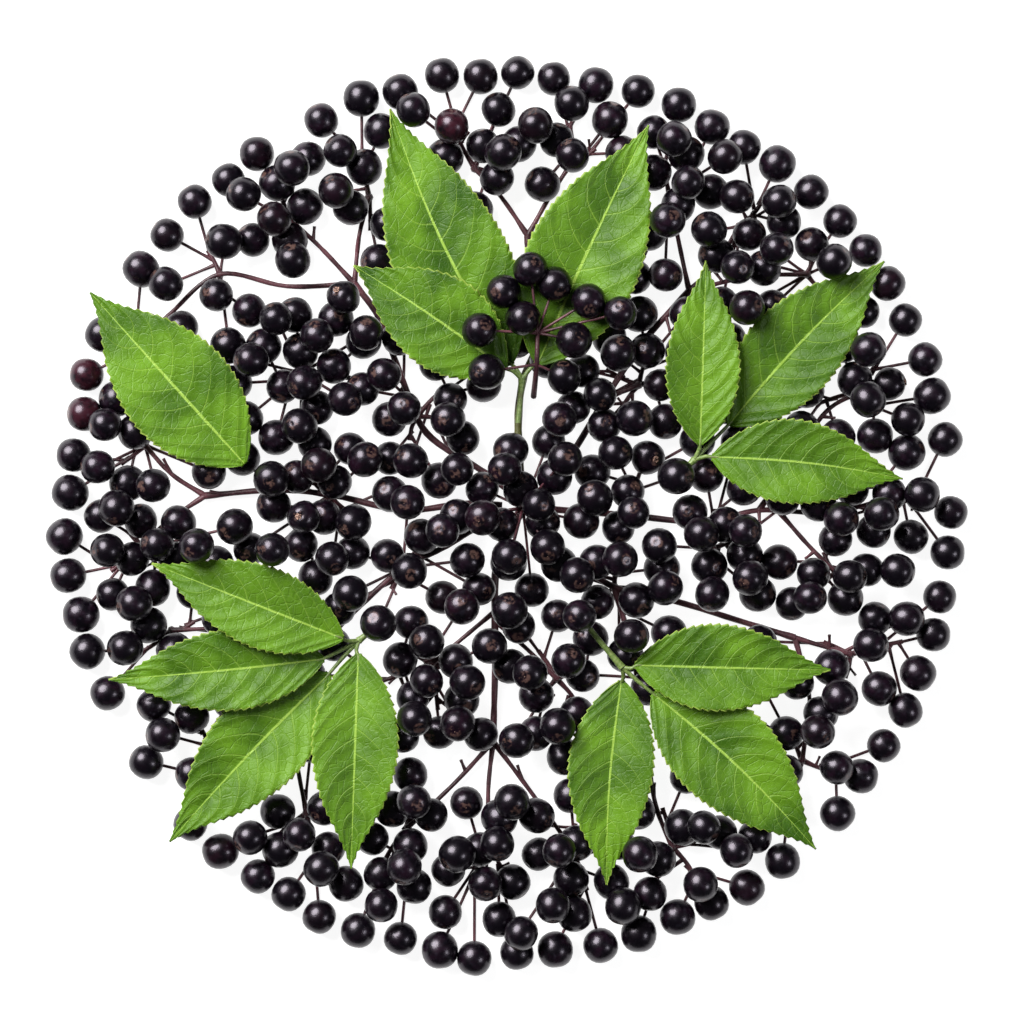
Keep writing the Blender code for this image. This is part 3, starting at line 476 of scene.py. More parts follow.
def stem_segments() -> Iterator[StemRun]:
    """Yields every straight stretch of the stems, as its two ends and the radius at each."""
    for limbs in STEMS.values():
        for points, first, last in limbs:
            for k in range(len(points) - 1):
                radii = [first + (last - first) * (k + i) / (len(points) - 1) for i in (0, 1)]
                ends = [(*points[k + i], LIMBS.ray_clearance + radii[i]) for i in (0, 1)]
                yield ends[0], ends[1], radii[0], radii[1]


def nearest_spray(x: float, y: float) -> str:
    """The name of the spray whose fork is nearest a place."""
    return min(SPRAYS, key=lambda name: math.dist(SPRAYS[name], (x, y)))


def over_stem(x: float, y: float, stems: list[StemRun]) -> bool:
    """Whether a place lies over a stem, or just beside it."""
    return any(distance_to(a[:2], b[:2], (x, y)) < first + LIMBS.stem_margin for a, b, first, _ in stems)


def is_held(berry: Berry, lower: list[Berry]) -> bool:
    """Whether one of the lower berries is near enough to hold an upper one."""
    nearest = min((math.dist(other.centre, berry.centre) for other in lower), default=math.inf)
    return nearest < LIMBS.hold_reach


def anchors_on(twigs: list[Twig], used: list[Place], place: Place) -> list[Place]:
    """Places on the twigs that are clear of the other stalks, the nearest first.

    Args:
        twigs: The spray's twigs.
        used: Where its other stalks start.
        place: The berry's place in plan.

    Returns:
        The free places, from the nearest to the farthest.
    """
    choices = []
    for a, b in twigs:
        length = math.dist(a, b)
        steps = int((length - 2 * LIMBS.fork_radius) / LIMBS.anchor_step)
        for k in range(steps + 1):
            along = (LIMBS.clear_of_fork + LIMBS.anchor_step * k) / length
            spot = tuple(i + (j - i) * along for i, j in zip(a, b))
            if all(math.dist(spot, other) > LIMBS.stalk_step for other in used):
                choices.append(spot)
    return sorted(choices, key=lambda spot: math.dist(spot, place))


def group_stalks(fork: Place, berries: list[Berry]) -> list[Twig]:
    """Grows a twig for every few of the lower berries, and ties each stalk to a twig.

    Args:
        fork: Where the spray's twigs start.
        berries: The spray's berries, whose anchors this sets.

    Returns:
        The twigs.
    """
    if fork == HUB:
        for berry in berries:
            berry.anchor = berry.foot = HUB
        return []
    lower = [b for b in berries if not b.upper]
    around = sorted(lower, key=lambda b: math.atan2(b.y - fork[1], b.x - fork[0]))
    count = max(1, round(len(around) / LIMBS.group_size))
    twigs = []
    for k in range(count):
        group = around[k * len(around) // count:(k + 1) * len(around) // count]
        middle = [sum(getattr(b, side) for b in group) / len(group) for side in ("x", "y")]
        away = max(math.dist(fork, middle), 0.1)
        reach = max(LIMBS.twig_reach * away, LIMBS.shortest_twig)
        twigs.append((fork, tuple(f + (m - f) / away * reach for f, m in zip(fork, middle))))
    used: list[Place] = []
    for berry in lower + [b for b in berries if b.upper]:
        berry.anchor = next(iter(anchors_on(twigs, used, (berry.x, berry.y))), fork)
        used.append(berry.anchor)
    return twigs


def place_foot(berry: Berry, stems: list[StemRun]) -> bool:
    """Sets where a stalk leaves the table.

    Args:
        berry: The berry at the stalk's end.
        stems: The stems that the stalk has to miss.

    Returns:
        False where no side of the berry is clear of a stem.
    """
    if berry.anchor == HUB:
        return True
    if berry.upper:
        berry.foot = (berry.x, berry.y)
        return True
    reach = LIMBS.foot_offset
    towards = math.atan2(berry.anchor[1] - berry.y, berry.anchor[0] - berry.x)
    feet = [
        (berry.x + reach * math.cos(towards + turn), berry.y + reach * math.sin(towards + turn))
        for turn in LIMBS.foot_turns
    ]
    if math.dist(berry.anchor, (berry.x, berry.y)) < reach + LIMBS.foot_near_twig:
        feet.insert(0, berry.anchor)
    room = LIMBS.neck_radius + LIMBS.gap
    for foot in feet:
        rise = (*foot, LIMBS.twig_height), berry.centre
        if all(segment_distance(*rise, a, b) > max(r) + room for a, b, *r in stems):
            berry.foot = foot
            return True
    return False


def settle(x: float, y: float, radius: float, start: float, balls: list[Ball], rods: list[Rod]) -> float:
    """The height at which a berry comes to rest.

    Args:
        x: The berry's place in plan.
        y: The same, the other way.
        radius: The berry's radius.
        start: The lowest height that it can have.
        balls: What it may rest on, as centre and radius.
        rods: What it may rest on, as two ends and a radius.

    Returns:
        The height of its centre.
    """
    z = start
    for (bx, by, bz), ball in balls:
        reach = radius + ball + LIMBS.gap
        apart = math.hypot(x - bx, y - by)
        if apart < reach:
            z = max(z, bz + math.sqrt(reach * reach - apart * apart))
    for a, b, rod in rods:
        near = nearest_on(a[:2], b[:2], (x, y))
        reach = radius + rod + LIMBS.gap
        apart = math.dist(near, (x, y))
        if apart < reach:
            z = max(z, max(a[2], b[2]) + math.sqrt(reach * reach - apart * apart))
    return z


def stalk_height(ways: list[Twig], berries: list[Berry], radius: float) -> float:
    """The height at which a leaf stalk and its branches clear the lower berries under them.

    Args:
        ways: The straight stretches of the stalk, in plan.
        berries: The lower berries.
        radius: The stalk's radius.

    Returns:
        The height of its middle line.
    """
    height = LIMBS.ray_clearance + LIMBS.petiole_least_rise
    for a, b in ways:
        for berry in berries:
            apart = distance_to(a, b, (berry.x, berry.y))
            reach = berry.radius + radius + LIMBS.gap
            if apart < reach:
                height = max(height, berry.z + math.sqrt(reach * reach - apart * apart))
    return height


@dataclass
class BunchPlan:
    """Where every berry, twig, stem and leaf of the bunch lies."""

    seed: int = SEED
    leaflets: list[BladePlan] = field(default_factory=list)
    stems: list[StemRun] = field(default_factory=list)
    sprays: dict[str, list[Berry]] = field(default_factory=dict)
    twigs: dict[str, list[Twig]] = field(default_factory=dict)
    leaf_stalks: dict[str, tuple[list[Spot], list[BladePlan]]] = field(default_factory=dict)
    raised: list[Berry] = field(default_factory=list)
    raised_height: float = 0.0

    def __post_init__(self) -> None:
        """Sows the berries, ties them to their twigs and lays everything down in turn."""
        rng = random.Random(self.seed)
        self.leaflets = [BladePlan(name) for name in LEAFLETS]
        self.stems = list(stem_segments())
        upper = self.upper_spots(rng)
        floor = self.floor_spots(rng, upper)
        self.share_out(floor, upper, rng)
        self.twigs = {name: group_stalks(SPRAYS[name], self.sprays[name]) for name in SPRAYS}
        for _ in range(2):
            self.drop_blocked()
            self.lay_lower()
        self.drop_blocked()
        lower = [b for berries in self.sprays.values() for b in berries if not b.upper]
        self.rest_leaflets(lower)
        self.lay_leaf_stalks(lower)
        self.lay_upper(lower)
        self.drop_unheld()
        self.raise_spray(rng)

    def upper_spots(self, rng: random.Random) -> list[Place]:
        """Sows the berries that lie on the others, each over a pit where its stalk comes up."""
        stalks = [way for points, _ in LEAF_STALKS.values() for way in zip(points[:-1], points[1:])]
        stalks += list(zip(RAISED_TWIG[:-1], RAISED_TWIG[1:]))
        spots = list(COVERING_BERRIES)
        for _ in range(BERRIES.upper_tries):
            reach, turn = BERRIES.upper_edge * math.sqrt(rng.random()), rng.uniform(0.0, math.tau)
            x, y = reach * math.cos(turn), reach * math.sin(turn)
            if in_clearing(x, y) or any(leaf.covers(x, y, BLADES.edge) for leaf in self.leaflets):
                continue
            dense = reach < BERRIES.dense_radius
            if not dense and over_stem(x, y, self.stems):
                continue
            if any(distance_to(a, b, (x, y)) < LIMBS.stalk_margin for a, b in stalks):
                continue
            if not far(x, y, RAISED_BERRIES, BERRIES.spacing + LIMBS.gap):
                continue
            if far(x, y, spots, BERRIES.upper_spacing if dense else BERRIES.upper_spacing_outside):
                spots.append((x, y))
        return spots

    def floor_spots(self, rng: random.Random, upper: list[Place]) -> list[Place]:
        """Sows the berries on the table.

        Args:
            rng: The source of chance.
            upper: The places of the berries over them, each kept clear for its stalk.

        Returns:
            Two rows round the rim, then places close beside one another.
        """
        spots: list[Place] = []
        for row, (reach, count, play) in enumerate(BERRIES.rim_rows):
            for k in range(count):
                uneven = rng.uniform(-BERRIES.rim_uneven, BERRIES.rim_uneven)
                turn = math.tau * (k + 0.5 * row + uneven) / count
                away = reach + rng.uniform(-play, play)
                x, y = away * math.cos(turn), away * math.sin(turn)
                if far(x, y, spots, BERRIES.spacing) and far(x, y, upper, BERRIES.pit):
                    spots.append((x, y))
        kept_clear = upper + RAISED_FOOT
        spots.extend(start for start in BERRIES.sowing_starts if far(*start, spots, BERRIES.start_spacing))
        for _ in range(BERRIES.floor_tries):
            beside = spots[rng.randrange(len(spots))]
            reach, turn = BERRIES.spacing + BERRIES.spacing_play * rng.random(), rng.uniform(0.0, math.tau)
            x, y = beside[0] + reach * math.cos(turn), beside[1] + reach * math.sin(turn)
            if math.hypot(x, y) > BERRIES.inner_edge or in_clearing(x, y):
                continue
            if not far(x, y, kept_clear, BERRIES.pit):
                continue
            covered = any(leaf.covers(x, y, -BERRIES.under_leaf) for leaf in self.leaflets)
            near = (distance_to(a[:2], b[:2], (x, y)) < BERRIES.hidden_from_stem for a, b, _, _ in self.stems)
            if covered and any(near):
                continue
            if far(x, y, spots, BERRIES.spacing_under_leaf if covered else BERRIES.spacing):
                spots.append((x, y))
        return spots

    def share_out(self, floor: list[Place], upper: list[Place], rng: random.Random) -> None:
        """Gives each berry to the spray whose fork it is nearest."""
        self.sprays = {name: [] for name in SPRAYS}
        for spots, layer in ((floor, Layer.LOWER), (upper, Layer.UPPER)):
            for x, y in spots:
                berry = Berry(x, y, rng.uniform(*BERRIES.radius), layer)
                self.sprays[nearest_spray(x, y)].append(berry)

    def drop_blocked(self) -> None:
        """Leaves out the berries whose stalk has no way past a stem."""
        for name, berries in self.sprays.items():
            self.sprays[name] = [berry for berry in berries if place_foot(berry, self.stems)]

    def drop_unheld(self) -> None:
        """Leaves out the upper berries over a stem that no lower berry of their spray can hold."""
        for name, berries in self.sprays.items():
            lower = [berry for berry in berries if not berry.upper]
            self.sprays[name] = lower + [
                berry
                for berry in berries
                if berry.upper and (is_held(berry, lower) or not over_stem(berry.x, berry.y, self.stems))
            ]

    def lay_lower(self) -> None:
        """Lays each lower berry on the table, or on the stems under it."""
        rods: list[Rod] = [(a, b, max(first, last)) for a, b, first, last in self.stems]
        for ways in self.twigs.values():
            rods += [((*a, LIMBS.twig_height), (*b, LIMBS.twig_height), LIMBS.twig_radius) for a, b in ways]
        runs = [(berry, *berry.run()) for berries in self.sprays.values() for berry in berries]
        for berries in self.sprays.values():
            for berry in [b for b in berries if not b.upper]:
                others = [(a, b, LIMBS.stalk_radius) for owner, a, b in runs if owner is not berry]
                berry.z = settle(berry.x, berry.y, berry.radius, berry.radius, [], rods + others)

    def rest_leaflets(self, berries: list[Berry]) -> None:
        """Lays each blade on the lower berries and on the blades of the tiers below it."""
        laid: list[BladePlan] = []
        for leaf in sorted(self.leaflets, key=lambda leaf: leaf.tier):
            need = 0.0
            near = [b for b in berries if leaf.covers(b.x, b.y, b.radius)]
            under = [other for other in laid if other.tier < leaf.tier]
            for s, u in leaf.samples():
                x, y = leaf.plan(s, u)
                for b in near:
                    apart = math.hypot(b.x - x, b.y - y)
                    if apart < b.radius:
                        top = b.z + math.sqrt(b.radius**2 - apart**2)
                        need = max(need, top + LIMBS.gap - leaf.shape(s, u))
                for other in under:
                    if other.covers(x, y, BLADES.tier_margin):
                        top = other.height(*other.local(x, y)) + BLADES.thickness
                        need = max(need, top + LIMBS.gap - leaf.shape(s, u))
            leaf.rest = need + BLADES.thickness / 2
            laid.append(leaf)

    def lay_leaf_stalks(self, lower: list[Berry]) -> None:
        """Lays each leaf stalk over the lower berries, level with its leaflets."""
        named = {leaf.name.removeprefix("leaflet_"): leaf for leaf in self.leaflets}
        for name, (points, carried) in LEAF_STALKS.items():
            leaves = [named[key] for key in carried]
            ways = list(zip(points[:-1], points[1:]))
            ways += [(points[-1], leaf.base) for leaf in leaves]
            height = stalk_height(ways, lower, LIMBS.petiole_radius)
            self.leaf_stalks[name] = [(*point, height) for point in points], leaves

    def blade_balls(self, x: float, y: float, radius: float) -> Iterator[Ball]:
        """Yields the parts of the blades that a berry at x, y can touch, as balls of no size."""
        for leaf in self.leaflets:
            if leaf.covers(x, y, radius + BLADES.margin):
                for s, u in leaf.samples():
                    px, py = leaf.plan(s, u)
                    if math.hypot(px - x, py - y) < radius + LIMBS.gap:
                        yield (px, py, leaf.height(s, u) + BLADES.thickness / 2), 0.0

    def lay_upper(self, lower: list[Berry]) -> None:
        """Lays each upper berry on the lower ones, the leaf stalks and the blades."""
        balls = [(b.centre, b.radius) for b in lower]
        rods: list[Rod] = [(a, b, max(first, last)) for a, b, first, last in self.stems]
        for path, leaves in self.leaf_stalks.values():
            rods += [(a, b, LIMBS.petiole_radius) for a, b in zip(path[:-1], path[1:])]
            rods += [(path[-1], (*leaf.base, path[-1][2]), LIMBS.petiole_radius) for leaf in leaves]
        for berries in self.sprays.values():
            for berry in [b for b in berries if b.upper]:
                blades = list(self.blade_balls(berry.x, berry.y, berry.radius))
                berry.z = settle(berry.x, berry.y, berry.radius, berry.radius, balls + blades, rods)

    def raise_spray(self, rng: random.Random) -> None:
        """Lays the raised spray over the leaf bases, its berries on the blades."""
        balls = [(b.centre, b.radius) for berries in self.sprays.values() for b in berries]
        path, _ = self.leaf_stalks["leaf_stalk_north"]
        rods = [(a, b, LIMBS.petiole_radius) for a, b in zip(path[:-1], path[1:])]
        for x, y in RAISED_BERRIES:
            berry = Berry(x, y, rng.uniform(*BERRIES.radius), Layer.RAISED)
            blades = list(self.blade_balls(x, y, berry.radius))
            berry.z = settle(x, y, berry.radius, berry.radius, balls + blades, rods)
            self.raised.append(berry)
        _, crossed = self.leaf_stalks["leaf_stalk_north"]
        self.raised_height = max(leaf.height(*LIMBS.raised_crossing) for leaf in crossed) + LIMBS.raised_over


# ---------------------------------------------------------------- finishes


class Wiring:
    """A node tree, with short ways to add nodes and links."""

    tree: bpy.types.NodeTree

    def add(self, kind: str, **settings: object) -> bpy.types.Node:
        """Adds a node.

        Args:
            kind: The node's type.
            settings: Its properties by name.

        Returns:
            The node.
        """
        node = self.tree.nodes.new(kind)
        for name, value in settings.items():
            setattr(node, name, value)
        return node

    def join(self, start: bpy.types.NodeSocket, end: bpy.types.NodeSocket) -> None:
        """Links two sockets."""
        self.tree.links.new(start, end)


class Shading(Wiring):
    """A material's node tree, with short ways to add what the finishes share."""

    def __init__(self, name: str) -> None:
        """Makes the material and keeps hold of its shader."""
        self.made = bpy.data.materials.new(name)
        self.made.use_nodes = True
        self.tree = self.made.node_tree
        self.shader = self.tree.nodes["Principled BSDF"]

    def feed(self, socket: bpy.types.NodeSocket, value: object) -> None:
        """Links a socket to an output, or sets its number."""
        if isinstance(value, bpy.types.NodeSocket):
            self.join(value, socket)
        else:
            socket.default_value = value

    def math(self, how: str, a: object, b: object = 0.0, clamp: bool = False) -> bpy.types.NodeSocket:
        """The result of a sum on two values, either of which may be an output."""
        node = self.add("ShaderNodeMath", operation=how, use_clamp=clamp)
        self.feed(node.inputs[0], a)
        self.feed(node.inputs[1], b)
        return node.outputs[0]

    def times(self, a: object, b: object, clamp: bool = False) -> bpy.types.NodeSocket:
        """The product of two values."""
        return self.math("MULTIPLY", a, b, clamp)

    def plus(self, a: object, b: object) -> bpy.types.NodeSocket:
        """The sum of two values."""
        return self.math("ADD", a, b)

    def less(self, a: object, b: object) -> bpy.types.NodeSocket:
        """The first value less the second."""
        return self.math("SUBTRACT", a, b)

    def between(self, value: object, low: float, high: float) -> bpy.types.NodeSocket:
        """A smooth step from 0 at low to 1 at high. It falls where low is above high."""
        node = self.add("ShaderNodeMapRange", interpolation_type="SMOOTHSTEP")
        flip = low > high
        self.feed(node.inputs["Value"], value)
        node.inputs["From Min"].default_value = min(low, high)
        node.inputs["From Max"].default_value = max(low, high)
        node.inputs["To Min"].default_value = 1.0 if flip else 0.0
        node.inputs["To Max"].default_value = 0.0 if flip else 1.0
        return node.outputs["Result"]

    def mix(self, share: object, a: object, b: object) -> bpy.types.NodeSocket:
        """A blend of two colours.

        Args:
            share: How much of the second colour shows.
            a: The first colour, as three numbers or an output.
            b: The second colour.

        Returns:
            The blended colour.
        """
        node = self.add("ShaderNodeMix", data_type="RGBA")
        self.feed(node.inputs[0], share)
        for socket, colour in ((node.inputs[6], a), (node.inputs[7], b)):
            self.feed(socket, (*colour, 1.0) if isinstance(colour, tuple) else colour)
        return node.outputs[2]

    def attribute(self, name: str) -> bpy.types.NodeSocket:
        """The value of one of the piece's own attributes."""
        return self.add("ShaderNodeAttribute", attribute_name=name).outputs["Fac"]

    def place(self) -> bpy.types.NodeSocket:
        """The Object coordinates."""
        return self.add("ShaderNodeTexCoord").outputs["Object"]

    def noise(self, where: bpy.types.NodeSocket, size: float, detail: float = 3.0) -> bpy.types.NodeSocket:
        """Noise whose features are about a size in metres, where the coordinates are in metres."""
        node = self.add("ShaderNodeTexNoise")
        self.join(where, node.inputs["Vector"])
        node.inputs["Scale"].default_value = 1.0 / size
        node.inputs["Detail"].default_value = detail
        return node.outputs[0]

    def cells(self, where: bpy.types.NodeSocket, size: float, feature: str) -> bpy.types.NodeSocket:
        """Voronoi cells about a size across: F1 for their dots, DISTANCE_TO_EDGE for their net."""
        node = self.add("ShaderNodeTexVoronoi", feature=feature)
        self.join(where, node.inputs["Vector"])
        node.inputs["Scale"].default_value = 1.0 / size
        return node.outputs["Distance"]

    def bump(self, height: bpy.types.NodeSocket, depth: float, strength: float) -> None:
        """Roughens the surface by a height, as deep as a depth in metres."""
        node = self.add("ShaderNodeBump")
        node.inputs["Strength"].default_value = strength
        node.inputs["Distance"].default_value = depth
        self.join(height, node.inputs["Height"])
        self.join(node.outputs["Normal"], self.shader.inputs["Normal"])

    def finish(self, colour: object, roughness: object, **constants: float) -> bpy.types.Material:
        """Feeds the shader.

        Args:
            colour: The base colour, as three numbers or an output.
            roughness: The roughness, as a number or an output.
            constants: Other shader inputs, with _ for each space.

        Returns:
            The material.
        """
        self.feed(self.shader.inputs["Base Color"], (*colour, 1.0) if isinstance(colour, tuple) else colour)
        self.feed(self.shader.inputs["Roughness"], roughness)
        for name, value in constants.items():
            self.shader.inputs[name.replace("_", " ")].default_value = value
        return self.made


@dataclass(frozen=True)
class BerrySkinFinish:
    """Taut, near-black skin with a thin bloom. Some berries are still red."""

    black: Colour = (0.0012, 0.0007, 0.0018)
    plum: Colour = (0.0080, 0.0024, 0.0066)
    red: Colour = (0.026, 0.0050, 0.0095)
    bloom: Colour = (0.026, 0.024, 0.036)
    scar: Colour = (0.10, 0.055, 0.045)
    shine: Colour = (0.86, 0.77, 0.92)
    ior: float = 1.46
    patch_size: float = 0.0022
    dust_size: float = 0.0009
    dot_size: float = 0.00075
    freckled_size: float = 0.0035
    crease_size: float = 0.0003
    crease_depth: float = 0.00006
    scar_share: float = 0.60
    scar_from: float = 0.91
    scar_full: float = 0.975
    smoothest: float = 0.22
    roughest: float = 0.36

    def build(self) -> bpy.types.Material:
        """Makes the material."""
        look = Shading("berry_skin")
        where = look.place()
        tone = look.attribute("tone")
        pole = look.attribute("pole")
        patches = look.noise(where, self.patch_size, 4.0)
        plummy = look.times(look.between(patches, 0.40, 0.72), look.plus(tone, 0.15), True)
        skin = look.mix(plummy, self.black, self.plum)
        ripening = look.times(look.attribute("redness"), look.between(patches, 0.30, 0.60), True)
        skin = look.mix(ripening, skin, self.red)
        dust = look.noise(where, self.dust_size, 6.0)
        veil = look.times(look.between(dust, 0.50, 0.78), look.times(tone, 0.35), True)
        skin = look.mix(veil, skin, self.bloom)
        dots = look.between(look.cells(where, self.dot_size, "F1"), 0.16, 0.07)
        freckles = look.times(dots, look.between(look.noise(where, self.freckled_size, 2.0), 0.50, 0.68))
        skin = look.mix(look.times(freckles, 0.45), skin, self.bloom)
        ragged = look.plus(pole, look.times(look.less(patches, 0.5), 0.20))
        scarred = look.between(ragged, self.scar_from, self.scar_full)
        corky = look.times(scarred, look.between(dust, 0.44, 0.60))
        skin = look.mix(look.times(corky, self.scar_share), skin, self.scar)
        rough = look.add("ShaderNodeMapRange")
        look.join(dust, rough.inputs["Value"])
        rough.inputs["To Min"].default_value = self.smoothest
        rough.inputs["To Max"].default_value = self.roughest
        look.shader.inputs["Specular Tint"].default_value = (*self.shine, 1.0)
        creases = look.plus(look.times(dust, 0.6), look.noise(where, self.crease_size, 2.0))
        look.bump(creases, self.crease_depth, 0.35)
        return look.finish(
            skin, rough.outputs["Result"],
            IOR=self.ior, Specular_IOR_Level=0.46, Coat_Weight=0.12, Coat_Roughness=0.14,
        )


@dataclass(frozen=True)
class CrownFinish:
    """The dry, corky remains of the flower on top of a berry."""

    pale: Colour = (0.36, 0.225, 0.175)
    dark: Colour = (0.030, 0.013, 0.012)

    def build(self) -> bpy.types.Material:
        """Makes the material."""
        look = Shading("dry_crown")
        where = look.place()
        grain = look.noise(where, 0.00030, 4.0)
        colour = look.mix(look.between(grain, 0.43, 0.60), self.dark, self.pale)
        look.bump(grain, 0.00025, 1.0)
        return look.finish(colour, 0.85, Specular_IOR_Level=0.25)


@dataclass(frozen=True)
class BarkFinish:
    """Soft purple-brown bark, with fine streaks, or olive green over a stretch of the main stem."""

    name: str = "purple_bark"
    dark: Colour = (0.022, 0.0065, 0.0100)
    light: Colour = (0.110, 0.036, 0.047)
    olive: Colour = (0.092, 0.094, 0.024)
    olive_from: float = 1.0
    olive_to: float = 1.0

    def build(self) -> bpy.types.Material:
        """Makes the material."""
        look = Shading(self.name)
        where = look.place()
        blotch = look.noise(where, 0.006, 4.0)
        grain = look.noise(where, 0.0006, 5.0)
        colour = look.mix(look.between(blotch, 0.36, 0.66), self.dark, self.light)
        colour = look.mix(look.times(look.between(grain, 0.45, 0.75), 0.45), colour, self.light)
        if self.olive_from < self.olive_to:
            north = look.add("ShaderNodeSeparateXYZ")
            look.join(where, north.inputs[0])
            y = north.outputs["Y"]
            in_band = look.times(
                look.between(y, self.olive_from, self.olive_from + 0.012),
                look.between(y, self.olive_to, self.olive_to - 0.014),
            )
            green = look.times(in_band, look.between(blotch, 0.22, 0.5))
            colour = look.mix(green, colour, self.olive)
        pores = look.between(look.cells(where, 0.0011, "F1"), 0.20, 0.08)
        colour = look.mix(look.times(pores, 0.3), colour, self.light)
        look.bump(look.plus(grain, look.times(pores, 0.5)), 0.00012, 0.6)
        return look.finish(colour, 0.46, Specular_IOR_Level=0.4)


@dataclass(frozen=True)
class GreenStalkFinish:
    """The smooth yellow-green skin of a leaf stalk, flushed purple in places."""

    green: Colour = (0.090, 0.148, 0.030)
    pale: Colour = (0.195, 0.265, 0.078)
    flush: Colour = (0.085, 0.058, 0.030)

    def build(self) -> bpy.types.Material:
        """Makes the material."""
        look = Shading("green_stalk")
        where = look.place()
        blotch = look.noise(where, 0.004, 3.0)
        grain = look.noise(where, 0.0005, 4.0)
        colour = look.mix(look.between(grain, 0.35, 0.7), self.green, self.pale)
        colour = look.mix(look.times(look.between(blotch, 0.52, 0.72), 0.7), colour, self.flush)
        look.bump(grain, 0.00008, 0.5)
        return look.finish(colour, 0.42)


@dataclass(frozen=True)
class Veins:
    """How the side veins run: their number, and how they lean and curve towards the tip."""

    lanes: float = 9.0
    stagger: float = 0.045
    lean: float = 0.10
    curve: float = 0.13
    curve_power: float = 2.2


VEINS = Veins()


@dataclass(frozen=True)
class BladeFinish:
    """A fresh leaf: side veins that curve forward, a net of fine veins between them, a pale rim."""

    deep: Colour = (0.014, 0.053, 0.0010)
    fresh: Colour = (0.096, 0.212, 0.0085)
    vein: Colour = (0.240, 0.380, 0.055)
    rim: Colour = (0.260, 0.350, 0.062)
    sway_size: float = 0.011
    sway: float = 0.045
    net_size: float = 0.0021
    fine_size: float = 0.0008
    patch_size: float = 0.012
    relief_depth: float = 0.00035

    def build(self) -> bpy.types.Material:
        """Makes the material. The UV map runs along the blade in U, and across it in V."""
        look = Shading("leaf_blade")
        where = look.place()
        parts = look.add("ShaderNodeSeparateXYZ")
        look.join(look.add("ShaderNodeUVMap", uv_map=VEIN_MAP).outputs[0], parts.inputs[0])
        s = parts.outputs["X"]
        v = look.less(look.times(parts.outputs["Y"], 2.0), 1.0)
        t = look.math("ABSOLUTE", v)
        sway = look.times(look.less(look.noise(where, self.sway_size, 1.0), 0.5), self.sway)
        left = look.times(look.math("GREATER_THAN", v, 0.0), VEINS.stagger)
        bent = look.times(look.math("POWER", t, VEINS.curve_power), VEINS.curve)
        forward = look.plus(look.times(t, VEINS.lean), bent)
        lane = look.less(look.plus(look.plus(s, sway), left), forward)
        phase = look.math("FRACT", look.times(look.plus(lane, 1.0), VEINS.lanes))
        off = look.math("ABSOLUTE", look.less(phase, 0.5))
        thin = look.less(0.050, look.times(t, 0.030))
        side = look.between(look.math("DIVIDE", off, thin), 1.0, 0.25)
        side = look.times(side, look.between(t, 0.97, 0.78))
        rib_reach = look.less(0.042, look.times(s, 0.020))
        rib = look.between(look.math("DIVIDE", t, rib_reach), 1.0, 0.45)
        net = look.between(look.cells(where, self.net_size, "DISTANCE_TO_EDGE"), 0.075, 0.0)
        fine = look.between(look.cells(where, self.fine_size, "DISTANCE_TO_EDGE"), 0.10, 0.0)
        patches = look.noise(where, self.patch_size, 3.0)
        colour = look.mix(look.between(patches, 0.30, 0.72), self.deep, self.fresh)
        colour = look.mix(look.times(look.attribute("tone"), 0.45), colour, self.fresh)
        colour = look.mix(look.times(net, 0.05), colour, self.vein)
        colour = look.mix(look.times(fine, 0.05), colour, self.vein)
        colour = look.mix(look.times(side, 0.32), colour, self.vein)
        colour = look.mix(look.times(rib, 0.90), colour, self.vein)
        colour = look.mix(look.times(look.between(t, 0.955, 1.0), 0.80), colour, self.rim)
        pillow = look.less(1.0, look.between(off, 0.42, 0.0))
        relief = look.less(look.times(pillow, -1.2), look.times(net, 0.45))
        relief = look.less(relief, look.times(fine, 0.15))
        look.bump(look.plus(relief, look.times(side, -0.5)), self.relief_depth, 0.45)
        return look.finish(colour, 0.46, Specular_IOR_Level=0.22)


@dataclass(frozen=True)
class TableFinish:
    """The plain white table under the bunch."""

    white: Colour = (0.30, 0.30, 0.30)
    glow: float = 0.92

    def build(self) -> bpy.types.Material:
        """Makes the material."""
        look = Shading("white_table")
        grain = look.noise(look.place(), 0.05, 2.0)
        colour = look.mix(look.times(grain, 0.1), self.white, (0.28, 0.28, 0.29))
        look.shader.inputs["Emission Color"].default_value = (1.0, 1.0, 1.0, 1.0)
        look.shader.inputs["Emission Strength"].default_value = self.glow
        return look.finish(colour, 0.6)


# ---------------------------------------------------------------- making pieces


class Growth(Wiring):
    """A Geometry Nodes tree that is built in the script, with named inputs."""

    def __init__(self, name: str) -> None:
        """Makes an empty tree that takes geometry and gives geometry."""
        self.tree = bpy.data.node_groups.new(name, "GeometryNodeTree")
        self.tree.interface.new_socket("Geometry", in_out="INPUT", socket_type="NodeSocketGeometry")
        self.tree.interface.new_socket("Geometry", in_out="OUTPUT", socket_type="NodeSocketGeometry")
        self.start: bpy.types.Node | None = None

    def takes(self, name: str, kind: str) -> str:
        """Adds a named input and returns its identifier."""
        return self.tree.interface.new_socket(name, in_out="INPUT", socket_type=kind).identifier

    def given(self, name: str) -> bpy.types.NodeSocket:
        """The value of a named input."""
        if self.start is None:
            self.start = self.add("NodeGroupInput")
        return self.start.outputs[name]

    def attribute(self, name: str, kind: str) -> bpy.types.NodeSocket:
        """The value of an attribute of the geometry."""
        node = self.add("GeometryNodeInputNamedAttribute", data_type=kind)
        node.inputs["Name"].default_value = name
        return node.outputs["Attribute"]

    def gives(self, geometry: bpy.types.NodeSocket) -> None:
        """Makes this geometry the tree's result."""
        self.join(geometry, self.add("NodeGroupOutput").inputs[0])


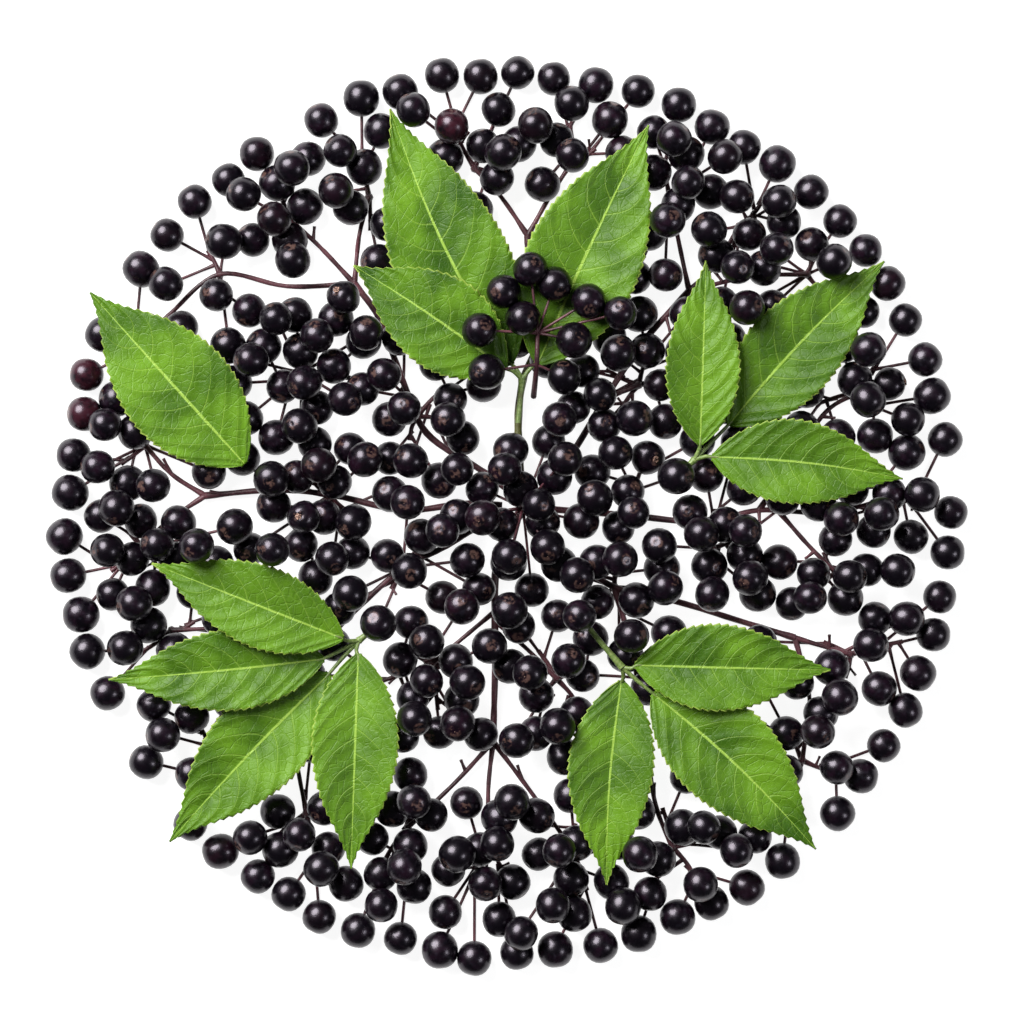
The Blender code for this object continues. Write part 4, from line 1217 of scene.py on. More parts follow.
def grown_mesh(
    source: bpy.types.Object, tree: bpy.types.NodeTree, inputs: dict[str, object]
) -> bpy.types.Mesh:
    """Runs a tree on an object and keeps the result as a plain mesh.

    Args:
        source: The object with the points or curves, which this removes.
        tree: The Geometry Nodes tree.
        inputs: The tree's inputs, by identifier.

    Returns:
        The mesh.
    """
    grow = source.modifiers.new("grow", "NODES")
    grow.node_group = tree
    for identifier, value in inputs.items():
        grow[identifier] = value
    bpy.context.view_layer.update()
    graph = bpy.context.evaluated_depsgraph_get()
    mesh = bpy.data.meshes.new_from_object(source.evaluated_get(graph), depsgraph=graph)
    bpy.data.objects.remove(source, do_unlink=True)
    return mesh


def new_object(name: str, data: bpy.types.ID) -> bpy.types.Object:
    """Links a new object at the origin."""
    made = bpy.data.objects.new(name, data)
    bpy.context.scene.collection.objects.link(made)
    return made


def hand_over(piece: bpy.types.Object, slot: str, *nodes: str) -> None:
    """Makes a piece ride on the bunch in place of its solids.

    Args:
        piece: The finished piece.
        slot: Not used.
        nodes: The solids that it stands for.
    """
    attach(piece, BODY)
    if nodes:
        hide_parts(*nodes)
    LOG.info("%s: %d faces", piece.name, len(piece.data.polygons))


def smooth_path(points: list[Vector], per_stretch: int) -> list[Vector]:
    """A smooth line through points, by Catmull and Rom's rule.

    Args:
        points: Two or more places.
        per_stretch: How many steps lie between each two of them.

    Returns:
        The line's points.
    """
    ends = [points[0] * 2 - points[1], *points, points[-1] * 2 - points[-2]]
    line = []
    for k in range(1, len(ends) - 2):
        a, b, c, d = ends[k - 1:k + 3]
        for step in range(per_stretch):
            t = step / per_stretch
            line.append(
                0.5 * (
                    2 * b + (c - a) * t
                    + (2 * a - 5 * b + 4 * c - d) * t**2
                    + (3 * b - a - 3 * c + d) * t**3
                )
            )
    line.append(points[-1].copy())
    return line


@dataclass
class Limb:
    """A bent, tapering limb, as points in millimetres with a radius at each."""

    points: list[Vector]
    radii: list[float]


@dataclass
class LimbWork:
    """Turns limbs into one mesh of round tubes, through Geometry Nodes."""

    tree: bpy.types.NodeTree | None = None
    sides_input: str = ""
    finish_input: str = ""

    def __post_init__(self) -> None:
        """Builds the tree: each limb is swept by a ring that its own radius scales."""
        grow = Growth("grown_limbs")
        self.sides_input = grow.takes("Sides", "NodeSocketInt")
        self.finish_input = grow.takes("Bark", "NodeSocketMaterial")
        ring = grow.add("GeometryNodeCurvePrimitiveCircle")
        grow.join(grow.given("Sides"), ring.inputs["Resolution"])
        ring.inputs["Radius"].default_value = 1.0
        sweep = grow.add("GeometryNodeCurveToMesh")
        grow.join(grow.given("Geometry"), sweep.inputs["Curve"])
        grow.join(ring.outputs["Curve"], sweep.inputs["Profile Curve"])
        grow.join(grow.add("GeometryNodeInputRadius").outputs[0], sweep.inputs["Scale"])
        sweep.inputs["Fill Caps"].default_value = True
        smooth = grow.add("GeometryNodeSetShadeSmooth")
        grow.join(sweep.outputs[0], smooth.inputs["Geometry"])
        real = grow.add("GeometryNodeRealizeInstances")
        grow.join(smooth.outputs[0], real.inputs["Geometry"])
        dress = grow.add("GeometryNodeSetMaterial")
        grow.join(real.outputs[0], dress.inputs["Geometry"])
        grow.join(grow.given("Bark"), dress.inputs["Material"])
        grow.gives(dress.outputs[0])
        self.tree = grow.tree

    def build(self, name: str, limbs: list[Limb], sides: int, finish: bpy.types.Material) -> bpy.types.Object:
        """Sweeps the limbs.

        Args:
            name: The piece's name.
            limbs: The limbs.
            sides: How many sides a tube has.
            finish: The tubes' material.

        Returns:
            The piece.
        """
        curve = bpy.data.curves.new(name, "CURVE")
        curve.dimensions = "3D"
        for limb in limbs:
            spline = curve.splines.new("POLY")
            spline.points.add(len(limb.points) - 1)
            for point, place, radius in zip(spline.points, limb.points, limb.radii):
                point.co = (*(place * MM), 1.0)
                point.radius = radius * MM
        source = new_object(name + "_lines", curve)
        mesh = grown_mesh(source, self.tree, {self.sides_input: sides, self.finish_input: finish})
        mesh.name = name
        outward(mesh)
        return new_object(name, mesh)


def outward(mesh: bpy.types.Mesh) -> None:
    """Turns the faces of closed shells outwards."""
    bm = bmesh.new()
    bm.from_mesh(mesh)
    bmesh.ops.recalc_face_normals(bm, faces=bm.faces)
    bm.to_mesh(mesh)
    bm.free()


# ---------------------------------------------------------------- berries


@dataclass
class BerryForm:
    """One berry of unit radius, its crown at +Z: a skin of a few dozen faces and a star of dry lobes."""

    name: str
    kind: Skin
    around: int = 10
    crown_reach: float = 0.215
    lobes: int = 5
    crown_start: float = 0.975
    crown_stands: float = 0.05

    def profile(self) -> list[Place]:
        """The skin's outline from crown to stalk, as reach and height, a little full for the rounding."""
        pit = self.crown_reach
        return [
            (0.62 * pit, 0.990), (1.35 * pit, 1.030), (0.800, 0.850), (1.125, 0.330),
            (1.125, -0.350), (0.790, -0.870), (0.210, -1.090),
        ]

    def skin_place(self, reach: float, height: float, turn: float) -> Vector:
        """A place on the skin, dented where the berry has shrivelled."""
        if self.kind is Skin.SHRIVELLED:
            fold = 1.0 - 0.13 * max(0.0, math.sin(3.0 * turn + 2.0 * height)) - 0.05 * math.sin(5.0 * turn)
            reach *= fold
            height *= 0.90 + 0.06 * math.cos(2.0 * turn)
        return Vector((reach * math.cos(turn), reach * math.sin(turn), height))

    def build(self) -> bpy.types.Object:
        """Makes the form as a helper object, with the face attribute that marks the crown."""
        bm = bmesh.new()
        mark = bm.faces.layers.int.new("crown")
        rings = []
        for reach, height in self.profile():
            turns = [math.tau * k / self.around for k in range(self.around)]
            rings.append([bm.verts.new(self.skin_place(reach, height, turn)) for turn in turns])
        for upper, lower in zip(rings[:-1], rings[1:]):
            for k in range(self.around):
                after = (k + 1) % self.around
                bm.faces.new((upper[k], lower[k], lower[after], upper[after]))
        bm.faces.new(rings[0])
        bm.faces.new(list(reversed(rings[-1])))
        first_crown = len(bm.faces)
        self.add_crown(bm)
        bm.faces.ensure_lookup_table()
        for face in bm.faces[first_crown:]:
            face[mark] = 1
        bmesh.ops.recalc_face_normals(bm, faces=bm.faces)
        pole = bm.verts.layers.float.new("pole")
        for vert in bm.verts:
            vert[pole] = vert.co.z / vert.co.length
        mesh = bpy.data.meshes.new(self.name)
        bm.to_mesh(mesh)
        bm.free()
        return new_object(self.name, mesh)

    def add_crown(self, bm: bmesh.types.BMesh) -> None:
        """Adds the star of lobes, with its sunken middle and the stub of the style."""
        points = 2 * self.lobes
        foot, rim = [], []
        for k in range(points):
            turn = math.tau * k / points
            reach = self.crown_reach * (1.12 if k % 2 == 0 else 0.66)
            lift = self.crown_stands * (0.3 if k % 2 == 0 else 1.0)
            foot.append(bm.verts.new((1.05 * reach * math.cos(turn), 1.05 * reach * math.sin(turn), 0.90)))
            lobe = (reach * math.cos(turn), reach * math.sin(turn), self.crown_start + lift)
            rim.append(bm.verts.new(lobe))
        inner = [bm.verts.new((0.42 * v.co.x, 0.42 * v.co.y, self.crown_start - 0.012)) for v in rim]
        tip = bm.verts.new((0.0, 0.0, self.crown_start + 0.9 * self.crown_stands))
        for k in range(points):
            after = (k + 1) % points
            bm.faces.new((foot[k], foot[after], rim[after], rim[k]))
            bm.faces.new((rim[k], rim[after], inner[after], inner[k]))
            bm.faces.new((inner[k], inner[after], tip))
        bm.faces.new(list(reversed(foot)))


@dataclass
class BerryWork:
    """Sets a berry form on each point of a spray, through Geometry Nodes."""

    forms: dict[Skin, bpy.types.Object] = field(default_factory=dict)
    tree: bpy.types.NodeTree | None = None
    inputs: dict[str, str] = field(default_factory=dict)

    def __post_init__(self) -> None:
        """Builds the forms and the tree."""
        self.forms = {
            Skin.PLUMP: BerryForm("plump_form", Skin.PLUMP).build(),
            Skin.SMALL_CROWN: BerryForm("small_crown_form", Skin.SMALL_CROWN, crown_reach=0.165).build(),
            Skin.SHRIVELLED: BerryForm("shrivelled_form", Skin.SHRIVELLED, crown_reach=0.25).build(),
        }
        grow = Growth("set_berries")
        for kind in Skin:
            self.inputs[kind.name] = grow.takes(kind.name.title(), "NodeSocketObject")
        self.inputs["Skin"] = grow.takes("Skin", "NodeSocketMaterial")
        self.inputs["Crown"] = grow.takes("Crown", "NodeSocketMaterial")
        aim = grow.add("FunctionNodeAlignRotationToVector", axis="Z")
        grow.join(grow.attribute("way", "FLOAT_VECTOR"), aim.inputs["Vector"])
        spin = grow.add("FunctionNodeAxisAngleToRotation")
        spin.inputs["Axis"].default_value = (0.0, 0.0, 1.0)
        grow.join(grow.attribute("spin", "FLOAT"), spin.inputs["Angle"])
        turned = grow.add("FunctionNodeRotateRotation", rotation_space="LOCAL")
        grow.join(aim.outputs[0], turned.inputs["Rotation"])
        grow.join(spin.outputs[0], turned.inputs["Rotate By"])
        together = grow.add("GeometryNodeJoinGeometry")
        for kind in Skin:
            pick = grow.add("FunctionNodeCompare", data_type="INT", operation="EQUAL")
            grow.join(grow.attribute("form", "INT"), pick.inputs["A"])
            pick.inputs["B"].default_value = kind.value
            form = grow.add("GeometryNodeObjectInfo")
            grow.join(grow.given(kind.name.title()), form.inputs["Object"])
            each = grow.add("GeometryNodeInstanceOnPoints")
            grow.join(grow.given("Geometry"), each.inputs["Points"])
            grow.join(pick.outputs[0], each.inputs["Selection"])
            grow.join(form.outputs["Geometry"], each.inputs["Instance"])
            grow.join(turned.outputs[0], each.inputs["Rotation"])
            grow.join(grow.attribute("size", "FLOAT_VECTOR"), each.inputs["Scale"])
            grow.join(each.outputs[0], together.inputs[0])
        smooth = grow.add("GeometryNodeSetShadeSmooth")
        real = grow.add("GeometryNodeRealizeInstances")
        grow.join(together.outputs[0], real.inputs["Geometry"])
        grow.join(real.outputs[0], smooth.inputs["Geometry"])
        skin = grow.add("GeometryNodeSetMaterial")
        grow.join(smooth.outputs[0], skin.inputs["Geometry"])
        grow.join(grow.given("Skin"), skin.inputs["Material"])
        crown = grow.add("GeometryNodeSetMaterial")
        grow.join(skin.outputs[0], crown.inputs["Geometry"])
        is_crown = grow.add("FunctionNodeCompare", data_type="INT", operation="EQUAL")
        grow.join(grow.attribute("crown", "INT"), is_crown.inputs["A"])
        is_crown.inputs["B"].default_value = 1
        grow.join(is_crown.outputs[0], crown.inputs["Selection"])
        grow.join(grow.given("Crown"), crown.inputs["Material"])
        grow.gives(crown.outputs[0])
        self.tree = grow.tree

    def build(self, name: str, berries: list[Berry], ways: list[Vector], rng: random.Random,
              skin: bpy.types.Material, crown: bpy.types.Material) -> bpy.types.Object:
        """Sets the berries of a spray.

        Args:
            name: The piece's name.
            berries: The berries.
            ways: The direction that each one's crown points in.
            rng: What varies them.
            skin: The skin's material.
            crown: The crowns' material.

        Returns:
            The piece, with a live subdivision that rounds it.
        """
        mesh = bpy.data.meshes.new(name + "_points")
        mesh.from_pydata([Vector(berry.centre) * MM for berry in berries], [], [])
        sizes = []
        for berry in berries:
            slim, tall = rng.uniform(0.985, 1.01), rng.uniform(0.98, 1.03)
            sizes.append(tuple(berry.radius * MM * part for part in (slim, slim, tall)))
        values = {
            "way": ("FLOAT_VECTOR", ways),
            "size": ("FLOAT_VECTOR", sizes),
            "spin": ("FLOAT", [rng.uniform(0.0, math.tau) for _ in berries]),
            "tone": ("FLOAT", [rng.random() for _ in berries]),
            "redness": ("FLOAT", [berry.redness for berry in berries]),
            "form": ("INT", [berry.skin.value for berry in berries]),
        }
        for label, (kind, given) in values.items():
            layer = mesh.attributes.new(label, kind, "POINT")
            flat = [part for value in given for part in value] if kind == "FLOAT_VECTOR" else given
            layer.data.foreach_set("vector" if kind == "FLOAT_VECTOR" else "value", flat)
        inputs = {self.inputs[kind.name]: form for kind, form in self.forms.items()}
        inputs |= {self.inputs["Skin"]: skin, self.inputs["Crown"]: crown}
        grown = grown_mesh(new_object(name + "_points", mesh), self.tree, inputs)
        grown.name = name
        for spare in ("way", "size", "spin", "form", "crown"):
            if spare in grown.attributes:
                grown.attributes.remove(grown.attributes[spare])
        piece = new_object(name, grown)
        rounded = piece.modifiers.new("rounded", "SUBSURF")
        rounded.levels = rounded.render_levels = 1
        return piece

    def put_away(self) -> None:
        """Removes the helper forms."""
        for form in self.forms.values():
            bpy.data.objects.remove(form, do_unlink=True)


@dataclass(frozen=True)
class CrownLean:
    """What a crown's direction is added up from: shares of up, outwards, along the stalk and stray."""

    up: float = 0.95
    up_lost_at_rim: float = 0.75
    upper_lift: float = 0.25
    least_up: float = 0.12
    outward: float = 0.35
    outward_at_rim: float = 0.9
    along_stalk: float = 0.35
    stray: float = 0.75
    spread: float = 0.62
    rim: float = 92.0


LEAN = CrownLean()


@dataclass
class Spray:
    """The berries of one fork, with their twigs and stalks."""

    name: str
    berries: list[Berry]
    twigs: list[Twig]
    rng: random.Random
    fork_height: float = 0.5
    ray_height: float = 1.85
    stalk_sides: int = 8

    def crown_way(self, berry: Berry) -> Vector:
        """The direction of a berry's crown: up in the middle of the bunch, outwards at its rim."""
        outward_way = Vector((berry.x, berry.y, 0.0)) / LEAN.rim
        away = Vector((berry.x - berry.anchor[0], berry.y - berry.anchor[1], 0.0))
        away = away.normalized() if away.length > 0.5 else Vector()
        lean = outward_way.length
        stray = Vector((self.rng.gauss(0.0, LEAN.spread), self.rng.gauss(0.0, LEAN.spread), 0.0))
        up = LEAN.up - LEAN.up_lost_at_rim * lean**2 + (LEAN.upper_lift if berry.upper else 0.0)
        outward_share = LEAN.outward + LEAN.outward_at_rim * lean
        way = outward_way * outward_share + LEAN.along_stalk * away + LEAN.stray * stray
        return (way + Vector((0.0, 0.0, max(up, LEAN.least_up)))).normalized()

    def stalk(self, berry: Berry) -> Limb:
        """A berry's stalk: along the table from its twig, then up into the berry's flank."""
        start, foot = (Vector(place) for place in berry.run())
        centre = Vector(berry.centre)
        middle = start.lerp(foot, 0.55) + Vector((0.0, 0.0, self.rng.uniform(0.0, 0.35)))
        end = centre + (foot - centre).normalized() * berry.radius * 0.9
        if (foot - start).length < 0.4:
            points = [start, start.lerp(end, 0.5), end]
        elif berry.upper:
            points = [start, middle, foot.lerp(Vector((foot.x, foot.y, end.z)), 0.25), end]
        else:
            points = [start, middle, foot.lerp(end, 0.35), end]
        line = smooth_path(points, 4)
        radii = []
        for k in range(len(line)):
            along = k / (len(line) - 1)
            flare = 0.16 * max(0.0, 1.0 - along / 0.15) + 0.14 * max(0.0, (along - 0.8) / 0.2)
            radii.append(LIMBS.stalk_radius + 0.04 + flare)
        return Limb(line, radii)

    def fork_limbs(self) -> list[Limb]:
        """The twigs, and the knot that joins them to the end of their ray."""
        fork = Vector((*SPRAYS[self.name], self.fork_height))
        top = Vector((fork.x, fork.y, self.ray_height))
        limbs = [Limb([top + Vector((0, 0, 0.35)), top, fork.lerp(top, 0.4), fork - Vector((0, 0, 0.15))],
                      [0.35, 0.72, 0.95, 0.62])]
        for a, b in self.twigs:
            start, end = Vector((*a, self.fork_height + 0.35)), Vector((*b, self.fork_height))
            side = (end - start).cross(Vector((0.0, 0.0, 1.0))).normalized()
            bent = start.lerp(end, 0.5) + side * self.rng.uniform(-0.5, 0.5)
            line = smooth_path([start, bent, end], 5)
            count = len(line) - 1
            radii = [0.66 - 0.20 * min(1.0, 3.0 * k / count) for k in range(count + 1)]
            radii[-1] += 0.05
            limbs.append(Limb(line, radii))
        limbs.extend(self.stubs(fork))
        return limbs

    def stubs(self, fork: Vector) -> list[Limb]:
        """The short ends of stalks whose berries have dropped."""
        limbs = []
        for a, b in self.twigs:
            if self.rng.random() < 0.45:
                start = Vector((*a, fork.z)).lerp(Vector((*b, fork.z)), self.rng.uniform(0.35, 0.95))
                turn = self.rng.uniform(0.0, math.tau)
                way = Vector((math.cos(turn), math.sin(turn), self.rng.uniform(0.15, 0.5)))
                way *= self.rng.uniform(1.6, 3.2)
                limbs.append(Limb([start, start + way * 0.6, start + way], [0.34, 0.24, 0.30]))
        return limbs

    def limbs(self) -> list[Limb]:
        """Every limb of the spray."""
        return self.fork_limbs() + [self.stalk(berry) for berry in self.berries]

    def build(self, work: BerryWork, limb_work: LimbWork, finishes: dict[str, bpy.types.Material]) -> None:
        """Makes the spray's two pieces: its berries and its limbs."""
        ways = [self.crown_way(berry) for berry in self.berries]
        skin, crown = finishes["skin"], finishes["crown"]
        heads = work.build(self.name + "_berries", self.berries, ways, self.rng, skin, crown)
        hand_over(heads, "berries", self.name)
        stalks = limb_work.build(self.name + "_stalks", self.limbs(), self.stalk_sides, finishes["bark"])
        hand_over(stalks, "stem")


@dataclass
class CentreSpray(Spray):
    """The spray over the hub, whose stalks all leave the hub itself."""

    fork_height: float = 4.8

    def fork_limbs(self) -> list[Limb]:
        """The knob at the hub that the stalks leave."""
        hub = Vector((*HUB, 0.0))
        heights, radii = (2.2, 3.2, 4.3, 5.0), [1.2, 1.25, 1.0, 0.5]
        return [Limb([hub + Vector((0.0, 0.0, height)) for height in heights], radii)]

    def stalk(self, berry: Berry) -> Limb:
        """A stalk that arches from the hub to its berry."""
        hub, centre = Vector((*HUB, 4.4)), Vector(berry.centre)
        way = centre - hub
        end = centre - way.normalized() * berry.radius * 0.85
        line = smooth_path([hub, hub.lerp(end, 0.5) + Vector((0.0, 0.0, 0.5)), end], 6)
        radii = [LIMBS.stalk_radius + 0.12 * max(0.0, 1.0 - k / 3) for k in range(len(line))]
        return Limb(line, radii)


@dataclass
class RaisedSpray(Spray):
    """The spray that lies over the bases of the leaves."""

    height: float = 10.0

    def path(self) -> list[Vector]:
        """The twig's way up and over the leaf bases."""
        heights = (LIMBS.raised_start, self.height, self.height + LIMBS.raised_slope)
        return [Vector((*place, z)) for place, z in zip(RAISED_TWIG, heights)]

    def fork_limbs(self) -> list[Limb]:
        """The raised twig."""
        line = smooth_path(self.path(), 6)
        count = len(line) - 1
        return [Limb(line, [0.62 - 0.18 * k / count for k in range(count + 1)])]

    def stalk(self, berry: Berry) -> Limb:
        """A stalk from the nearer knot of the twig to its berry."""
        centre = Vector(berry.centre)
        start = min(self.path()[1:], key=lambda place: (place - centre).length)
        end = centre + (start - centre).normalized() * berry.radius * 0.85
        line = smooth_path([start, start.lerp(end, 0.5) + Vector((0.0, 0.0, 0.3)), end], 5)
        radii = [LIMBS.stalk_radius + 0.10 * max(0.0, 1.0 - k / 3) for k in range(len(line))]
        return Limb(line, radii)


# ---------------------------------------------------------------- stems and leaf stalks


@dataclass
class Stem:
    """A stem with its branches, swollen where each one leaves."""

    name: str
    rng: random.Random
    per_stretch: int = 8
    sides: int = 14
    swelling: float = 0.22
    swelling_reach: float = 3.0

    def limb(self, points: tuple[Place, ...], first: float, last: float, is_branch: bool) -> Limb:
        """One limb as a smooth line, thicker at its ends where other limbs leave it."""
        count = len(points) - 1
        radii = [first + (last - first) * k / count for k in range(count + 1)]
        path = [Vector((*point, LIMBS.ray_clearance + radius)) for point, radius in zip(points, radii)]
        line = smooth_path(path, self.per_stretch)
        joints = [path[-1]] if not is_branch else [path[0], path[-1]]
        thick = []
        for k, place in enumerate(line):
            radius = first + (last - first) * k / (len(line) - 1)
            near = min((place - joint).length for joint in joints)
            swell = self.swelling * math.exp(-((near / self.swelling_reach) ** 2))
            uneven = 0.05 * math.sin(1.3 * k) + 0.04 * self.rng.uniform(-1.0, 1.0)
            thick.append(radius * (0.92 + swell + uneven))
        return Limb(line, thick)

    def limbs(self) -> list[Limb]:
        """Every limb, with a few stubs of dropped stalks."""
        grown = [
            self.limb(points, first, last, number > 0)
            for number, (points, first, last) in enumerate(STEMS[self.name])
        ]
        for limb in list(grown):
            if self.rng.random() < 0.8:
                k = self.rng.randrange(len(limb.points) // 3, len(limb.points) - 2)
                turn = self.rng.uniform(0.0, math.tau)
                way = Vector((math.cos(turn), math.sin(turn), self.rng.uniform(0.1, 0.5)))
                start = limb.points[k]
                way *= self.rng.uniform(2.2, 3.6)
                grown.append(Limb([start, start + way * 0.7, start + way], [0.45, 0.30, 0.36]))
        return grown

    def build(self, work: LimbWork, finish: bpy.types.Material) -> None:
        """Makes the piece."""
        piece = work.build(self.name + "_bark", self.limbs(), self.sides, finish)
        hand_over(piece, "stem", self.name)


@dataclass
class LeafStalk:
    """A leaf stalk and the short stalk of each leaflet, from their node."""

    name: str
    path: list[Spot]
    leaves: list[BladePlan]
    sides: int = 12

    def limbs(self) -> list[Limb]:
        """The stalk, its node, and a short stalk to each blade."""
        line = smooth_path([Vector(place) for place in self.path], 8)
        count = len(line) - 1
        radii = [LIMBS.petiole_radius * (0.95 + 0.45 * (k / count) ** 6) for k in range(count + 1)]
        grown = [Limb(line, radii)]
        node = Vector(self.path[-1])
        before = (node - Vector(self.path[-2])).normalized()
        for leaf in self.leaves:
            base = Vector((*leaf.plan(0.012, 0.0), leaf.height(0.012, 0.0)))
            inside = Vector((*leaf.plan(0.05, 0.0), leaf.height(0.05, 0.0)))
            bent = node.lerp(base, 0.5) + before * 0.5
            short = smooth_path([node, bent, base, inside], 5)
            steps = len(short) - 1
            grown.append(Limb(short, [0.50 - 0.26 * k / steps for k in range(steps + 1)]))
        return grown

    def build(self, work: LimbWork, finish: bpy.types.Material) -> None:
        """Makes the piece."""
        piece = work.build(self.name + "_skin", self.limbs(), self.sides, finish)
        hand_over(piece, "green_stalk", self.name)


# ---------------------------------------------------------------- leaf blades


@dataclass
class Blade:
    """A toothed, veined leaf blade, folded along its midrib."""

    plan: BladePlan
    rng: random.Random
    columns: tuple[float, ...] = (0.0, 0.035, 0.075, 0.15, 0.25, 0.36, 0.48, 0.60, 0.72, 0.83, 0.92, 1.0)
    tooth_pitch: float = 1.85
    tooth_depth: float = 0.52
    rows_per_tooth: int = 5
    relief: float = 0.22
    ripple: float = 0.45
    thickness: float = 0.28
    tooth_crest: float = 0.86
    tooth_middle: float = 0.45
    toothless_ends: Place = (0.05, 0.975)
    tip_start: float = 0.70
    tip_narrowing: float = 0.42
    least_half_width: float = 0.12

    def edge(self, s: float, phase: float) -> float:
        """How much a tooth widens the blade, from its phase between two notches."""
        near, far_end = self.toothless_ends
        fade = min(1.0, max(0.0, (s - near) / 0.08)) * min(1.0, max(0.0, (far_end - s) / 0.03))
        crest = self.tooth_crest
        rise = phase / crest if phase < crest else (1.0 - phase) / (1.0 - crest)
        return self.tooth_depth * fade * (rise - self.tooth_middle)

    def vein_phase(self, s: float, t: float, left: bool) -> float:
        """Where a point lies between two side veins, from 0 to 1, with 0.5 on a vein."""
        lane = s + (VEINS.stagger if left else 0.0) - VEINS.lean * t - VEINS.curve * t**VEINS.curve_power
        return ((lane + 1.0) * VEINS.lanes) % 1.0

    def lift(self, s: float, v: float, half: float) -> float:
        """The height of the blade's relief: sunk side veins, pillowed lanes, a ribbed middle."""
        t = abs(v)
        off = abs(self.vein_phase(s, t, v > 0.0) - 0.5)
        pillow = math.sin(math.pi * min(1.0, off * 2.0)) ** 0.7
        body = self.relief * pillow * min(1.0, t * 4.0) * (1.0 - 0.7 * t**3) * min(1.0, half / 5.0)
        wave = self.ripple * t**2 * noise.noise(Vector((s * 7.0, v * 1.3, self.plan.length)))
        rib = 0.16 * max(0.0, 1.0 - t / 0.05) * (1.0 - 0.6 * s)
        return body + wave + rib

    def row(self, s: float, phase: float) -> list[tuple[float, float]]:
        """The places across one row, as the share v of the half width and the distance u."""
        half = self.plan.half_width(min(max(s, 0.006), 0.994))
        narrowed = 1.0 - self.tip_narrowing * max(0.0, (s - self.tip_start) / 0.30) ** 1.5
        half = max(half * narrowed, self.least_half_width)
        tooth = self.edge(s, phase)
        across = []
        for v in [-share for share in reversed(self.columns[1:])] + list(self.columns):
            reach = half * abs(v) + tooth * max(0.0, (abs(v) - 0.70) / 0.30) ** 2
            across.append((v, math.copysign(reach, v)))
        return across

    def build(self, finish: bpy.types.Material) -> None:
        """Makes the piece."""
        teeth = max(8, round(self.plan.length * 1.04 / self.tooth_pitch))
        count = teeth * self.rows_per_tooth
        bm = bmesh.new()
        veins = bm.loops.layers.uv.new(VEIN_MAP)
        shares: dict[bmesh.types.BMVert, Place] = {}
        rows = []
        for i in range(count + 1):
            s = i / count
            phase = (i % self.rows_per_tooth) / self.rows_per_tooth
            row = []
            for v, u in self.row(s, phase):
                x, y = self.plan.plan(s, u)
                z = self.plan.height(s, u) + self.lift(s, v, abs(self.plan.half_width(s)))
                vert = bm.verts.new(Vector((x, y, z)) * MM)
                shares[vert] = (s, 0.5 + 0.5 * v)
                row.append(vert)
            rows.append(row)
        for lower, upper in zip(rows[:-1], rows[1:]):
            for j in range(len(lower) - 1):
                face = bm.faces.new((lower[j + 1], upper[j + 1], upper[j], lower[j]))
                for loop in face.loops:
                    loop[veins].uv = shares[loop.vert]
        bmesh.ops.recalc_face_normals(bm, faces=bm.faces)
        if sum(face.normal.z for face in bm.faces) < 0.0:
            bmesh.ops.reverse_faces(bm, faces=bm.faces)
        mesh = bpy.data.meshes.new(self.plan.name + "_blade")
        bm.to_mesh(mesh)
        bm.free()
        mesh.shade_smooth()
        tone = mesh.attributes.new("tone", "FLOAT", "POINT")
        tone.data.foreach_set("value", [self.rng.random()] * len(mesh.vertices))
        mesh.materials.append(finish)
        piece = new_object(self.plan.name + "_blade", mesh)
        sheet = piece.modifiers.new("thickness", "SOLIDIFY")
        sheet.thickness = self.thickness * MM
        sheet.offset = 0.0
        hand_over(piece, "leaf", self.plan.name)


# ---------------------------------------------------------------- the studio


@dataclass
class Studio:
    """A white table, soft lights and a camera that looks straight down."""

    view_width: float = 0.2109
    aim: Spot = (0.00031, 0.00103, 0.008)
    camera_height: float = 1.4
    sensor: float = 36.0
    table_size: float = 4.0

    def table(self) -> None:
        """Lays the table."""
        bm = bmesh.new()
        half = self.table_size / 2
        corners = [bm.verts.new((x * half, y * half, 0.0)) for x, y in ((-1, -1), (1, -1), (1, 1), (-1, 1))]
        bm.faces.new(corners)
        mesh = bpy.data.meshes.new("white_table")
        bm.to_mesh(mesh)
        bm.free()
        mesh.materials.append(TableFinish().build())
        new_object("white_table", mesh)

    def light(self, name: str, place: Spot, size: float, power: float, colour: Colour) -> None:
        """Hangs one soft lamp that points at the bunch."""
        lamp = bpy.data.lights.new(name, "AREA")
        lamp.shape = "DISK"
        lamp.size = size
        lamp.energy = power
        lamp.color = colour
        hung = new_object(name, lamp)
        hung.location = place
        hung.rotation_euler = (-Vector(place)).to_track_quat("-Z", "Y").to_euler()

    def sky(self, strength: float) -> None:
        """Fills the room with an even pale light."""
        world = bpy.data.worlds.new("room")
        world.use_nodes = True
        back = world.node_tree.nodes["Background"]
        back.inputs["Color"].default_value = (0.95, 0.97, 1.0, 1.0)
        back.inputs["Strength"].default_value = strength
        bpy.context.scene.world = world

    def camera(self) -> None:
        """Sets the camera over the bunch."""
        lens = bpy.data.cameras.new("camera")
        lens.sensor_width = self.sensor
        lens.lens = self.sensor * self.camera_height / self.view_width
        lens.clip_end = 20.0
        held = new_object("camera", lens)
        held.location = (self.aim[0], self.aim[1], self.aim[2] + self.camera_height)
        bpy.context.scene.camera = held

    def build(self) -> None:
        """Sets everything up."""
        self.table()
        self.sky(0.06)
        self.light("key", (-0.60, 0.62, 0.80), 0.90, 40.0, (1.0, 0.99, 0.97))
        self.light("fill", (0.80, -0.20, 0.80), 0.30, 3.0, (0.97, 0.98, 1.0))
        bpy.context.scene.view_settings.view_transform = "Standard"
        self.camera()


